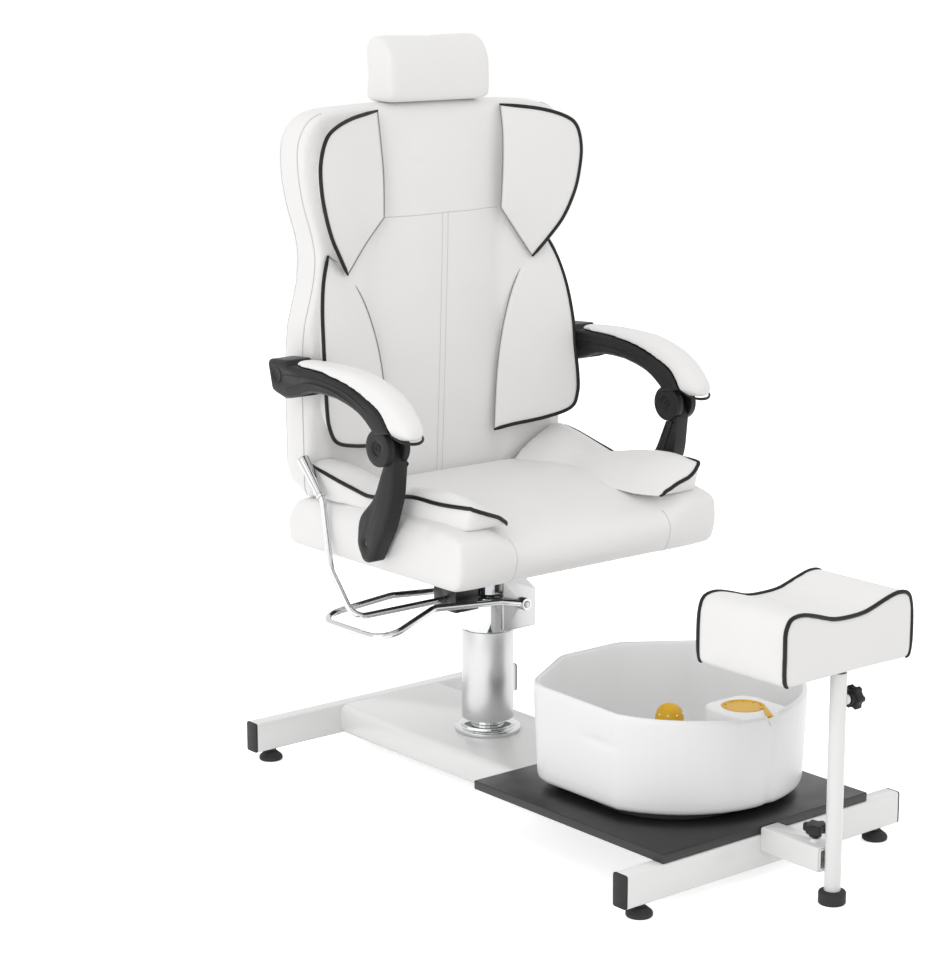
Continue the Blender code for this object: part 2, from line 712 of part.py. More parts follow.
# Recline control: a black channel under the tray, the bent rod in it and its grip
def recline_control():
    inner = -RECLINE_CHANNEL_INNER
    outer = inner - RECLINE_CHANNEL_WIDTH
    middle = RECLINE_ROD_Y - SLIDE_GAP
    low = (outer, middle - RECLINE_CHANNEL_DEPTH / 2, TRAY_ROOF - RECLINE_CHANNEL_DROP)
    high = (inner, middle + RECLINE_CHANNEL_DEPTH / 2, TRAY_ROOF - SEAT_GAP)
    channel = pressed_tray("recline_bracket", low, high, RECLINE_CHANNEL_SHEET, seat)
    rod_place = (RECLINE_ROD_Y, RECLINE_ROD_Z)
    hole = RECLINE_ROD_RADIUS + PIVOT_GAP
    cut(channel, cylinder("X", outer - RECLINE_CHANNEL_SHEET, inner + RECLINE_CHANNEL_SHEET, rod_place,
                          hole, 16))

    axis = joint_axis("recline_lever_axis", (0, *rod_place), seat)
    knee = Vector((-RECLINE_REACH, RECLINE_ROD_Y + RECLINE_KNEE_BACK, RECLINE_ROD_Z + RECLINE_KNEE_RISE))
    neck = knee + Vector((0, RECLINE_NECK_BACK, RECLINE_NECK_RISE))
    lean = Vector((0, math.sin(GRIP_LEAN), math.cos(GRIP_LEAN)))
    path = [(inner + RECLINE_CHANNEL_SHEET, *rod_place), (-RECLINE_REACH, *rod_place), knee, neck,
            neck + lean * (GRIP_SOCKET + RECLINE_ROD_RADIUS)]
    bends = [0, RECLINE_BEND, RECLINE_BEND, RECLINE_ROD_RADIUS * 2, 0]
    add_piece("recline_lever", rod(fillet(path, bends, 4, closed=False), RECLINE_ROD_RADIUS), chrome, axis)
    bore = RECLINE_ROD_RADIUS + SEAT_GAP
    ring_height = GRIP_LENGTH * 0.08
    waist = GRIP_FOOT_RADIUS * 0.85
    profile = [(0, GRIP_LENGTH), (GRIP_TOP_RADIUS * 0.8, GRIP_LENGTH),
               (GRIP_TOP_RADIUS, GRIP_LENGTH * 0.95), (waist, ring_height), (GRIP_FOOT_RADIUS, ring_height),
               (GRIP_FOOT_RADIUS, 0), (bore, 0), (bore, GRIP_SOCKET), (0, GRIP_SOCKET)]
    grip = turned("recline_grip", profile, chrome, axis, 20)
    grip.location = neck + lean * RECLINE_ROD_RADIUS
    grip.rotation_mode = "QUATERNION"
    grip.rotation_quaternion = Vector((0, 0, 1)).rotation_difference(lean)


def pressed_tray(name, low, high, sheet, carrier):
    """Sheet-metal tray that is open below."""
    shape = bmesh.new()
    shape.from_mesh(box(low, high))
    mouth = min(shape.faces, key=lambda face: face.calc_center_median().z)
    bmesh.ops.delete(shape, geom=[mouth], context="FACES_ONLY")
    mesh = bpy.data.meshes.new(name)
    shape.to_mesh(mesh)
    shape.free()
    piece = add_piece(name, mesh, black_steel, carrier)
    wall = piece.modifiers.new("wall", "SOLIDIFY")
    wall.thickness = sheet
    wall.offset = -1.0
    wall.use_even_offset = True
    return piece


# Seat: tray, board, cushion and the two thigh bolsters on it
def seat_top_line():
    """Top of the cushion from the tail to the nose, as (y, z)."""
    depth = SEAT_FRONT + SEAT_REAR
    falls = [(0.0, SEAT_TAIL_DROP), (0.108, SEAT_TAIL_DROP * 0.94), (0.232, 0.0), (0.585, 0.0),
             (0.813, SEAT_NOSE_DROP * 0.4), (1.0, SEAT_NOSE_DROP)]
    line = [(SEAT_REAR - share * depth, SEAT_TOP - fall) for share, fall in falls]
    return fillet(line, depth, 2, closed=False)


def seat_pieces():
    half_width = TRAY_WIDTH / 2
    half_depth = TRAY_DEPTH / 2
    pressed_tray("mounting_tray", (-half_width, -half_depth, TRAY_TOP - TRAY_SKIRT),
                 (half_width, half_depth, TRAY_TOP), TRAY_SHEET, seat)
    half_pan = PAN_WIDTH / 2
    pan = add_piece("seat_pan", box((-half_pan, -PAN_FRONT, PAN_BOTTOM),
                                    (half_pan, PAN_REAR, PAN_BOTTOM + PAN_THICKNESS)), plywood, seat)
    round_edges(pan, PAN_THICKNESS * 0.15, 1)
    half = SEAT_WIDTH / 2 + SEAT_COVER
    top = seat_top_line()
    profile = [(-SEAT_FRONT, SEAT_BOTTOM), (SEAT_REAR, SEAT_BOTTOM)] + top
    cushion = add_piece("seat_cushion", plate([profile], "X", -half, half), white_leather, seat)
    round_edges(cushion, SEAT_EDGE, 2)
    recess = half_pan + SEAT_GAP
    cut(cushion, box((-recess, -PAN_FRONT - SEAT_GAP, PAN_BOTTOM - SEAT_EDGE),
                     (recess, PAN_REAR + SEAT_GAP, PAN_BOTTOM + PAN_THICKNESS + SEAT_GAP)))
    eye = LINK_SPACER_RADIUS + HINGE_SHEET
    hinge_pocket = (HINGE_Y, HINGE_EYE, UPRIGHT_SIDE + HINGE_SHEET + HINGE_PIN_HEAD, SEAT_TOP)
    pivot_pocket = (LINK_PIVOT_Y, eye, SEAT_SIDE + HINGE_SHEET, LINK_PIVOT_Z + eye)
    for sign in SIDES.values():
        for middle, reach, depth, height in (hinge_pocket, pivot_pocket):
            ends = sorted((sign * (SEAT_SIDE - SLIDE_GAP), sign * (depth + SLIDE_GAP)))
            cut(cushion, box((ends[0], middle - reach - SLIDE_GAP, PAN_BOTTOM - SEAT_EDGE),
                             (ends[1], middle + reach + SLIDE_GAP, height + SLIDE_GAP)))
        cut(cushion, cylinder("X", sign * SEAT_SIDE, sign * (half + SEAT_EDGE), (LINK_PIVOT_Y, LINK_PIVOT_Z),
                              LINK_SPACER_RADIUS + SLIDE_GAP))
    for side, sign in SIDES.items():
        thigh_bolster("thigh_bolster_" + side, sign, top)


def height_on(line, y):
    """Height of a line of (y, z) points that runs from rear to front."""
    for (y_rear, z_rear), (y_front, z_front) in zip(line, line[1:]):
        if y_front <= y <= y_rear:
            return z_rear + (z_front - z_rear) * (y_rear - y) / (y_rear - y_front)
    return line[-1][1]


def thigh_bolster(name, sign, top):
    """Wedge along the cushion's edge: thin inside, highest outside, its underside lying on the cushion."""
    stations = [BOLSTER_REAR]
    stations += [y for y, _ in top if -BOLSTER_FRONT < y < BOLSTER_REAR]
    stations += [-BOLSTER_FRONT]
    inner = sign * BOLSTER_INNER
    outer = sign * BOLSTER_OUTER
    crest = SEAT_TOP + BOLSTER_HEIGHT
    sections = []
    for y in stations:
        floor = height_on(top, y) + SEAT_GAP
        sections.append([(inner, y, floor), (outer, y, floor), (outer, y, crest),
                         (inner, y, floor + BOLSTER_THIN)])
    bolster = add_piece(name, loft(sections, name), white_leather, seat)
    round_edges(bolster, BOLSTER_EDGE, 1)


# Recline hinge: plates with pins on the seat, uprights with the arm studs in the back
def hinge_plate(name, sign):
    """Angle bracket: its foot lies under the seat board, its side carries the hinge pin."""
    foot_top = PAN_BOTTOM - SEAT_GAP
    foot_bottom = foot_top - HINGE_SHEET
    front = HINGE_Y - HINGE_EYE
    rear = HINGE_Y + HINGE_EYE
    side_outline = [(front, foot_bottom), (rear, foot_bottom)]
    side_outline += eye_arc((HINGE_Y, HINGE_Z), HINGE_EYE)
    outer = SEAT_SIDE + HINGE_SHEET
    bracket = add_piece(name, plate([side_outline], "X", sign * SEAT_SIDE, sign * outer), black_steel, seat)
    foot_low = (min(sign * (PAN_WIDTH / 2 - HINGE_FOOT), sign * (outer - SEAT_GAP)), front, foot_bottom)
    foot_high = (max(sign * (PAN_WIDTH / 2 - HINGE_FOOT), sign * (outer - SEAT_GAP)), rear, foot_top)
    join(bracket, box(foot_low, foot_high))
    pin_end = UPRIGHT_SIDE + HINGE_SHEET + HINGE_PIN_HEAD
    place = (HINGE_Y, HINGE_Z)
    join(bracket, cylinder("X", sign * (SEAT_SIDE + SEAT_GAP), sign * pin_end, place, HINGE_PIN_RADIUS, 16))


def eye_arc(centre, radius, steps=10):
    """Half round over a pivot, from its rear side over the top to its front side."""
    turns = [math.pi * step / steps for step in range(steps + 1)]
    return [(centre[0] + radius * math.cos(turn), centre[1] + radius * math.sin(turn)) for turn in turns]


def upright_outline():
    """Strap from the hinge eye up to the lug that carries the arm stud, as (y, z)."""
    below = [(2 * HINGE_Y - y, 2 * HINGE_Z - z) for y, z in eye_arc((HINGE_Y, HINGE_Z), HINGE_EYE)]
    rear = HINGE_Y + UPRIGHT_WIDTH / 2
    lug = eye_arc((ARM_STUD_Y, ARM_STUD_Z), STUD_LUG)
    return below + [(rear, HINGE_Z), (rear, ARM_STUD_Z)] + lug


def upright(name, sign):
    inner = sign * UPRIGHT_SIDE
    outer = sign * (UPRIGHT_SIDE + HINGE_SHEET)
    strap = add_piece(name, plate([upright_outline()], "X", inner, outer), black_steel, back)
    place = (HINGE_Y, HINGE_Z)
    reach = 2 * HINGE_SHEET
    hole = HINGE_PIN_RADIUS + PIVOT_GAP
    cut(strap, cylinder("X", inner - sign * reach, outer + sign * reach, place, hole, 16))
    stud_end = ARM_INNER + ARM_WIDTH * 0.75
    stud_place = (ARM_STUD_Y, ARM_STUD_Z)
    stud_start = sign * (UPRIGHT_SIDE + HINGE_SHEET / 2)
    join(strap, cylinder("X", stud_start, sign * stud_end, stud_place, STUD_RADIUS, 12))


# Back: the boxed cushion, its wings and lumbar bolsters
def back_half_width(z):
    """Half width of the back, drawn in at the waist."""
    share = (z - BACK_BOTTOM) / BACK_HEIGHT
    waist = max(0.0, math.cos(math.pi * min(1.0, abs(share - 0.55) / 0.62) / 2)) ** 2
    return BACK_WIDTH / 2 - BACK_WAIST * waist


def back_cushion():
    levels = [BACK_BOTTOM] + [BACK_BOTTOM + BACK_HEIGHT * step / 8 for step in range(1, 8)] + [BACK_TOP]
    left = [(back_half_width(z), z) for z in levels]
    right = [(-x, z) for x, z in reversed(left)]
    radii = [BACK_FOOT_CORNER] + [0.0] * 7 + [BACK_CORNER]
    outline = fillet(left + right, radii + radii[::-1], 4)
    rear = BACK_FACE + BACK_THICKNESS
    cushion = add_piece("back_cushion", plate([outline], "Y", BACK_FACE, rear), white_leather, back)
    round_edges(cushion, BACK_EDGE, 2)
    strap = upright_outline()
    front = min(y for y, z in strap) - SLIDE_GAP
    behind = max(HINGE_Y + UPRIGHT_WIDTH / 2, ARM_STUD_Y + STUD_LUG) + SLIDE_GAP
    top = ARM_STUD_Z + STUD_LUG + SLIDE_GAP
    for sign in SIDES.values():
        ends = sorted((sign * (UPRIGHT_SIDE - SEAT_GAP), sign * (UPRIGHT_SIDE + HINGE_SHEET + SEAT_GAP)))
        cut(cushion, box((ends[0], front, BACK_BOTTOM - BACK_EDGE), (ends[1], behind, top)))
        hole = STUD_RADIUS + SLIDE_GAP
        place = (ARM_STUD_Y, ARM_STUD_Z)
        cut(cushion, cylinder("X", sign * (UPRIGHT_SIDE + HINGE_SHEET / 2), sign * BACK_WIDTH, place, hole,
                              12))
        bore_x = sign * POST_SPACING / 2
        bore_bottom = BACK_TOP - POST_DEPTH - SLIDE_GAP
        post_y = BACK_FACE + BACK_THICKNESS / 2
        bore = POST_RADIUS + SEAT_GAP
        cut(cushion, cylinder("Z", bore_bottom, BACK_TOP + BACK_EDGE, (bore_x, post_y), bore, 16))


def sloped_pad(name, outline, sign, thin, thick):
    """Pad on the back's face that thickens from its inner edge to its outer edge."""
    rear = BACK_FACE - SEAT_GAP
    mesh = plate([[(sign * x, z) for x, z in outline]], "Y", rear - thick, rear)
    widths = [abs(vertex.co.x) for vertex in mesh.vertices]
    inner = min(widths)
    outer = max(widths)
    for vertex in mesh.vertices:
        if vertex.co.y < rear - thick / 2:
            share = (abs(vertex.co.x) - inner) / (outer - inner)
            vertex.co.y = rear - thin - (thick - thin) * share
    pad = add_piece(name, mesh, white_leather, back)
    round_edges(pad, PAD_EDGE, 1)


def back_pads():
    """Outlines are shares of the back's half width, and of its height from the top or from the bottom."""
    wing = [(0.491, 0.991), (0.919, 0.956), (1.0, 0.878), (0.895, 0.666), (0.726, 0.583), (0.449, 0.712)]
    lumbar = [(0.846, 0.602), (0.951, 0.476), (1.0, 0.335), (0.986, 0.172), (0.916, 0.130), (0.435, 0.110),
              (0.442, 0.271), (0.604, 0.517)]
    wing_radii = [0.010, 0.030, 0.060, 0.060, 0.012, 0.030]
    lumbar_radii = [0.012, 0.080, 0.100, 0.020, 0.020, 0.006, 0.100, 0.080]
    for side, sign in SIDES.items():
        sloped_pad("back_wing_" + side, pad_outline(wing, wing_radii), sign, WING_THIN, WING_THICK)
        sloped_pad("lumbar_bolster_" + side, pad_outline(lumbar, lumbar_radii), sign, LUMBAR_THIN,
                   LUMBAR_THICK)


def pad_outline(shares, radii):
    outline = [(x * BACK_WIDTH / 2, BACK_BOTTOM + z * BACK_HEIGHT) for x, z in shares]
    return fillet(outline, radii, 2)


# Headrest: a pillow on two posts that slide in the back
def headrest_pieces():
    front = BACK_FACE + (BACK_THICKNESS - PILLOW_DEPTH) / 2
    rear = front + PILLOW_DEPTH
    bottom = BACK_TOP + PILLOW_RISE
    top = bottom + PILLOW_HEIGHT
    corners = [(front, bottom), (rear, bottom), (rear, top), (front, top)]
    radii = [PILLOW_CORNER / 2, PILLOW_CORNER / 2, PILLOW_CORNER * 0.8, PILLOW_CORNER * 1.4]
    half = PILLOW_WIDTH / 2
    pillow = add_piece("headrest_pillow", plate([fillet(corners, radii, 4)], "X", -half, half), white_leather,
                       headrest)
    round_edges(pillow, PILLOW_EDGE, 2)
    post_top = bottom - SEAT_GAP
    post_bottom = BACK_TOP - POST_DEPTH
    for side, sign in SIDES.items():
        place = (sign * POST_SPACING / 2, (front + rear) / 2)
        post = cylinder("Z", post_bottom, post_top, place, POST_RADIUS, 16)
        add_piece("headrest_post_" + side, post, chrome, headrest)


# Arms: a link pivots on the seat, the arched arm hinges on the link and hangs on the back's stud
def arm_pivot(name, sign):
    """Angle bracket under the seat board, with the spacer and the pin that carry the arm link."""
    foot_top = PAN_BOTTOM - SEAT_GAP
    foot_bottom = foot_top - HINGE_SHEET
    centre = (LINK_PIVOT_Y, LINK_PIVOT_Z)
    eye = LINK_SPACER_RADIUS + HINGE_SHEET
    side_outline = [(LINK_PIVOT_Y - eye, foot_bottom), (LINK_PIVOT_Y + eye, foot_bottom)]
    side_outline += eye_arc(centre, eye)
    outer = SEAT_SIDE + HINGE_SHEET
    bracket = add_piece(name, plate([side_outline], "X", sign * SEAT_SIDE, sign * outer), black_steel, seat)
    foot = sorted((sign * (PAN_WIDTH / 2 - HINGE_FOOT), sign * (outer - SEAT_GAP)))
    join(bracket, box((foot[0], LINK_PIVOT_Y - eye, foot_bottom), (foot[1], LINK_PIVOT_Y + eye, foot_top)))
    spacer_end = LINK_INNER - PIVOT_GAP
    join(bracket, cylinder("X", sign * (SEAT_SIDE + SEAT_GAP), sign * spacer_end, centre, LINK_SPACER_RADIUS))
    pin_end = TONGUE_OUTER - PIVOT_GAP
    join(bracket, cylinder("X", sign * (spacer_end - HINGE_SHEET), sign * pin_end, centre, LINK_PIN_RADIUS,
                           16))


def link_point(side, up):
    """Point of the link, as shares of its rise: how far behind its leaning middle line, and how far up."""
    return LINK_PIVOT_Y - LINK_LEAN * up + side * LINK_RISE, LINK_PIVOT_Z + up * LINK_RISE


def arm_link(name, sign, axis):
    """Boot-shaped link: a round tongue for the arm's fork above, a broad foot on the seat's pivot below."""
    knuckle = (KNUCKLE_Y, KNUCKLE_Z)
    pivot = (LINK_PIVOT_Y, LINK_PIVOT_Z)
    shares = [(-0.043, 0.831), (0.018, 0.458), (0.195, 0.235), (0.146, -0.036), (0.003, -0.199),
              (-0.116, -0.193), (-0.235, 0.187), (-0.263, 0.506), (-0.195, 0.867)]
    foot = [link_point(side, up) for side, up in shares]
    radii = [0.010, 0.080, 0.040, 0.030, 0.012, 0.012, 0.100, 0.100, 0.020]
    top = list(reversed(eye_arc(knuckle, LINK_TOP_RADIUS)))
    outline = fillet(foot + top, radii + [0.0] * len(top), 3)
    link = add_piece(name, plate([outline], "X", sign * LINK_INNER, sign * TONGUE_OUTER), black_plastic, axis)
    round_rims(link, "X", ARM_EDGE / 2)
    relief = KNUCKLE_RADIUS + 3 * PIVOT_GAP
    cut(link, cylinder("X", sign * (LINK_INNER - CHEEK_WIDTH), sign * TONGUE_INNER, knuckle, relief, 24))
    hole = LINK_PIN_RADIUS + PIVOT_GAP
    cut(link, cylinder("X", sign * (LINK_INNER - CHEEK_WIDTH), sign * ARM_OUTER, pivot, hole, 16))
    axle_start = CHEEK_INNER + PIVOT_GAP
    axle_end = CHEEK_OUTER - PIVOT_GAP
    join(link, cylinder("X", sign * axle_start, sign * axle_end, knuckle, AXLE_RADIUS, 16))


def arm_point(along, up):
    """Point of the arm, as shares of the span and the rise from its knuckle to the back's stud."""
    return KNUCKLE_Y + along * ARM_SPAN, KNUCKLE_Z + up * ARM_RISE


def arm_top_line():
    """Top of the arched arm under its pad, from rear to front, as (y, z)."""
    shares = [(0.891, 1.218), (0.682, 1.218), (0.513, 1.188), (0.270, 1.071), (0.064, 0.847), (-0.045, 0.682),
              (-0.116, 0.329)]
    return fillet([arm_point(along, up) for along, up in shares], ARM_SPAN, 2, closed=False)


def armrest(name, sign, axis):
    """Arched arm: a block over the back's stud at the rear, a fork on the link's axle at the front."""
    knuckle = (KNUCKLE_Y, KNUCKLE_Z)
    shares = [(0.015, 0.235), (0.097, 0.447), (0.184, 0.612), (0.397, 0.800), (0.663, 0.800), (0.839, 0.600),
              (0.936, 0.553)]
    under = fillet([arm_point(along, up) for along, up in shares], ARM_SPAN, 2, closed=False)
    top = arm_top_line()
    rear = ARM_STUD_Y + ARM_BLOCK_REAR
    block = [under[-1], (rear, ARM_STUD_Z - ARM_BLOCK_DROP), (rear, ARM_STUD_Z + ARM_BLOCK_RISE),
             arm_point(0.906, 1.318), top[0]]
    block = fillet(block, [0, ARM_BLOCK_CORNER, ARM_BLOCK_CORNER, ARM_BLOCK_CORNER / 2, 0], 2, closed=False)
    outline = under + block[1:-1] + top
    arm = add_piece(name, plate([outline], "X", sign * ARM_INNER, sign * ARM_OUTER), black_plastic, axis)
    round_rims(arm, "X", ARM_EDGE)
    channel = shift(under[2:-2], ARM_CHANNEL) + shift(reversed(under[2:-2]), -ARM_CHANNEL)
    cut(arm, plate([channel], "X", sign * (ARM_INNER + ARM_WALL), sign * (ARM_OUTER - ARM_WALL)))
    join(arm, cylinder("X", sign * CHEEK_INNER, sign * CHEEK_OUTER, knuckle, KNUCKLE_RADIUS, 24))
    slot = [sign * (TONGUE_INNER - PIVOT_GAP), sign * (TONGUE_OUTER + PIVOT_GAP)]
    cut(arm, cylinder("X", slot[0], slot[1], knuckle, KNUCKLE_RADIUS + 3 * PIVOT_GAP, 24))
    inside = sign * (ARM_INNER - ARM_WIDTH)
    outside = sign * (ARM_OUTER + ARM_WIDTH)
    cut(arm, cylinder("X", inside, outside, knuckle, AXLE_RADIUS + PIVOT_GAP))
    cut(arm, cylinder("X", inside, outside, (ARM_STUD_Y, ARM_STUD_Z), STUD_RADIUS + ARM_STUD_SLACK))


def arm_pad(name, sign, axis):
    """Padded top that follows the arch and wraps down over its front end."""
    under = shift(arm_top_line(), SEAT_GAP)
    under[0] = (under[0][0] - SEAT_GAP, under[0][1])
    shares = [(-0.131, 0.258), (-0.281, 0.176), (-0.303, 0.400), (-0.180, 0.800), (0.079, 1.200),
              (0.393, 1.353), (0.794, 1.329)]
    crown = [arm_point(along, up) for along, up in shares] + [(under[0][0], arm_point(0, 1.318)[1])]
    outline = under + fillet(crown, ARM_SPAN, 2, closed=False)
    inner = sign * (ARM_INNER - ARM_PAD_OVERHANG)
    outer = sign * (ARM_OUTER + ARM_PAD_OVERHANG)
    pad = add_piece(name, plate([outline], "X", inner, outer), white_leather, axis)
    round_rims(pad, "X", ARM_PAD_EDGE, 2)
    lengths = [y for y, _ in outline]
    heights = [z for _, z in outline]
    middle = ((inner + outer) / 2, (min(lengths) + max(lengths)) / 2)
    width = abs(outer - inner)
    length = max(lengths) - min(lengths)
    waste = rectangle(middle, 2 * width, 2 * length, width / 2)
    plan = rectangle(middle, width, length, ARM_PAD_TIP)
    cut(pad, plate([waste, plan], "Z", min(heights) - width, max(heights) + width))


def arms():
    for side, sign in SIDES.items():
        arm_pivot("arm_pivot_" + side, sign)
        link_axis = joint_axis(f"arm_link_{side}_axis", (sign * LINK_INNER, LINK_PIVOT_Y, LINK_PIVOT_Z), seat)
        arm_axis = joint_axis(f"armrest_{side}_axis", (sign * ARM_INNER, KNUCKLE_Y, KNUCKLE_Z), link_axis)
        arm_link("arm_link_" + side, sign, link_axis)
        armrest("armrest_" + side, sign, arm_axis)
        arm_pad("arm_pad_" + side, sign, arm_axis)


# Footrest: a socket on the front bar, the post that slides in it and the pad that rises in the post
def rail_socket():
    middle = (SOCKET_BOTTOM + SOCKET_TOP) / 2
    tube = section((0, middle), SOCKET_SIZE, SOCKET_SIZE, SOCKET_CORNER, SOCKET_WALL)
    start = -FRONT_REACH - SEAT_GAP
    socket = add_piece("rail_socket", plate(tube, "Y", start, -FRONT_REACH - SOCKET_LENGTH), white_paint,
                       column)
    place = (0, -FRONT_REACH - RAIL_KNOB_REACH)
    boss_top = SOCKET_TOP + BOSS_HEIGHT
    join(socket, cylinder("Z", SOCKET_TOP - SOCKET_WALL / 2, boss_top, place, BOSS_RADIUS))
    hole = KNOB_STUD_RADIUS + SLIDE_GAP
    cut(socket, cylinder("Z", SOCKET_TOP - 2 * SOCKET_WALL, boss_top + BOSS_HEIGHT, place, hole, 16))
    rail_top = SOCKET_TOP - SOCKET_WALL - SLIDE_GAP
    axis = joint_axis("rail_knob_axis", (*place, boss_top), column)
    star_knob("rail_knob", axis, "Z", place, boss_top + KNOB_STANDOFF, rail_top + SEAT_GAP)


def star_knob(name, axis, direction, centre, base, tip):
    """Star knob with a hub and a threaded stud; base is the knob's underside, tip the stud's end."""
    count = KNOB_LOBES * 6
    outline = []
    for step in range(count):
        turn = 2 * math.pi * step / count
        radius = KNOB_RADIUS - KNOB_LOBE + KNOB_LOBE * math.cos(KNOB_LOBES * turn)
        outline.append((centre[0] + radius * math.cos(turn), centre[1] + radius * math.sin(turn)))
    bottom = base + KNOB_HUB_HEIGHT
    knob = add_piece(name, plate([outline], direction, bottom, bottom + KNOB_HEIGHT), black_plastic, axis)
    round_edges(knob, KNOB_EDGE, 1)
    join(knob, cylinder(direction, base, bottom + KNOB_HEIGHT / 2, centre, KNOB_HUB_RADIUS))
    join(knob, cylinder(direction, tip, base + KNOB_HUB_HEIGHT / 2, centre, KNOB_STUD_RADIUS, 16))


def footrest_post():
    """Post with the rail welded to it, and its foot."""
    inner = TUBE_RADIUS - TUBE_WALL
    bottom = TUBE_FOOT_HEIGHT + SEAT_GAP
    profile = [(inner, TUBE_TOP), (TUBE_RADIUS, TUBE_TOP), (TUBE_RADIUS, bottom), (inner, bottom)]
    post = turned("footrest_post", profile, white_paint, carriage, 20, closed=True)
    post.location = (0, TUBE_Y, 0)
    middle = (SOCKET_BOTTOM + SOCKET_TOP) / 2
    size = SOCKET_SIZE - 2 * (SOCKET_WALL + SLIDE_GAP)
    rail = section((0, middle), size, size, SOCKET_CORNER - SOCKET_WALL / 2, RAIL_WALL)
    rail_front = TUBE_Y + TUBE_RADIUS - TUBE_WALL * 0.6
    rail_rear = -FRONT_REACH - SOCKET_LENGTH + RAIL_INSERT
    join(post, plate(rail, "Y", rail_front, rail_rear))
    knob_place = (TUBE_Y, POST_KNOB_Z)
    boss_end = TUBE_RADIUS + BOSS_HEIGHT
    join(post, cylinder("X", TUBE_RADIUS - TUBE_WALL * 0.6, boss_end, knob_place, BOSS_RADIUS))
    cut(post, cylinder("X", inner / 2, boss_end + BOSS_HEIGHT, knob_place, KNOB_STUD_RADIUS + SLIDE_GAP, 16))
    plug = inner - SEAT_GAP
    plug_top = bottom + TUBE_FOOT_PLUG
    profile = [(0, plug_top), (plug, plug_top), (plug, TUBE_FOOT_HEIGHT),
               (TUBE_FOOT_RADIUS * 0.92, TUBE_FOOT_HEIGHT), (TUBE_FOOT_RADIUS, TUBE_FOOT_HEIGHT * 0.85),
               (TUBE_FOOT_RADIUS, TUBE_FOOT_HEIGHT * 0.1), (TUBE_FOOT_RADIUS * 0.95, 0), (0, 0)]
    foot = turned("post_foot", profile, black_plastic, carriage, 20)
    foot.location = (0, TUBE_Y, 0)
    stem_radius = inner - SLIDE_GAP
    axis = joint_axis("post_knob_axis", (boss_end, *knob_place), carriage)
    star_knob("post_knob", axis, "X", knob_place, boss_end + KNOB_STANDOFF, stem_radius + SEAT_GAP)


def footrest_head():
    stem_radius = TUBE_RADIUS - TUBE_WALL - SLIDE_GAP
    stem_top = PLATE_BOTTOM - SEAT_GAP
    stem_bottom = stem_top - STEM_LENGTH
    bore = stem_radius - STEM_WALL
    profile = [(bore, stem_top), (stem_radius, stem_top), (stem_radius, stem_bottom), (bore, stem_bottom)]
    stem = turned("footrest_stem", profile, satin_steel, rest, 20, closed=True)
    stem.location = (0, TUBE_Y, 0)
    half = PLATE_WIDTH / 2
    rear = REST_FRONT + REST_DEPTH
    low = (-half, REST_FRONT + PLATE_SETBACK, PLATE_BOTTOM)
    high = (half, rear - PLATE_SETBACK, PLATE_BOTTOM + PLATE_THICKNESS)
    add_piece("footrest_plate", box(low, high), black_steel, rest)
    half = REST_WIDTH / 2
    top = REST_BOTTOM + REST_HEIGHT
    saddle = [(-half, REST_BOTTOM), (half, REST_BOTTOM), (half, top - 0.002), (half * 0.72, top),
              (half * 0.22, top - REST_DIP), (-half * 0.22, top - REST_DIP), (-half * 0.72, top),
              (-half, top - 0.002)]
    radii = [0.006, 0.006, REST_CORNER, 0.05, 0.05, 0.05, 0.05, REST_CORNER]
    pad = add_piece("footrest_pad", plate([fillet(saddle, radii, 3)], "Y", REST_FRONT, rear),
                    white_leather, rest)
    round_edges(pad, REST_EDGE, 1)


# Foot basin: a moulded shell with a ridge for the massage dome and a pocket for the infuser
def basin_outline(inset):
    """Plan of the basin: a broad round front, flat sides, and a narrow rear behind two slanted corners."""
    front = -BASIN_FRONT + inset
    side = -BASIN_SIDE_REAR - inset / 2
    rear = -BASIN_REAR - inset
    halves = [(BASIN_FRONT_WIDTH / 2 - inset, front), (BASIN_SIDE_WIDTH / 2 - inset, side),
              (BASIN_REAR_WIDTH / 2 - inset / 2, rear)]
    right = [(BASIN_X - half, y) for half, y in halves]
    left = [(BASIN_X + half, y) for half, y in halves]
    radii = [BASIN_FRONT_CORNER - inset, BASIN_REAR_CORNER, BASIN_REAR_CORNER]
    return fillet(left + right[::-1], radii + radii[::-1], 6)


def rim_height(y):
    share = (y + BASIN_FRONT) / (BASIN_FRONT - BASIN_REAR)
    return BASIN_FRONT_RIM + (BASIN_REAR_RIM - BASIN_FRONT_RIM) * share


def basin_loop(inset, floor, share):
    """Loop of points round the basin, a share of the way from a floor up to the rim."""
    loop = []
    for x, y in basin_outline(inset):
        rim = BOARD_TOP + rim_height(y)
        loop.append((x, y, floor + (rim - floor) * share))
    return loop


def basin_shell():
    """Loft up the outer wall, over the rim and down the inner wall to the floor."""
    round_share = BASIN_FLOOR_ROUND / (BASIN_FRONT_RIM + BASIN_REAR_RIM) * 2
    inner = BASIN_TAPER + BASIN_WALL
    stations = [(BASIN_TAPER + BASIN_FLOOR_ROUND / 2, BASIN_BOTTOM, 0.0),
                (BASIN_TAPER, BASIN_BOTTOM, round_share),
                (0.0, BASIN_BOTTOM, 1.0), (BASIN_WALL, BASIN_BOTTOM, 1.0), (inner, BASIN_FLOOR, round_share),
                (inner + BASIN_FLOOR_ROUND, BASIN_FLOOR, 0.0)]
    return loft([basin_loop(*station) for station in stations], "basin")


def basin_front_at(x):
    """Place of the basin's front wall at x, halfway through its thickness."""
    outline = basin_outline(BASIN_WALL / 2)
    crossings = []
    for (x_first, y_first), (x_second, y_second) in zip(outline, outline[1:] + outline[:1]):
        if min(x_first, x_second) <= x <= max(x_first, x_second) and x_first != x_second:
            crossings.append(y_first + (y_second - y_first) * (x - x_first) / (x_second - x_first))
    return min(crossings)


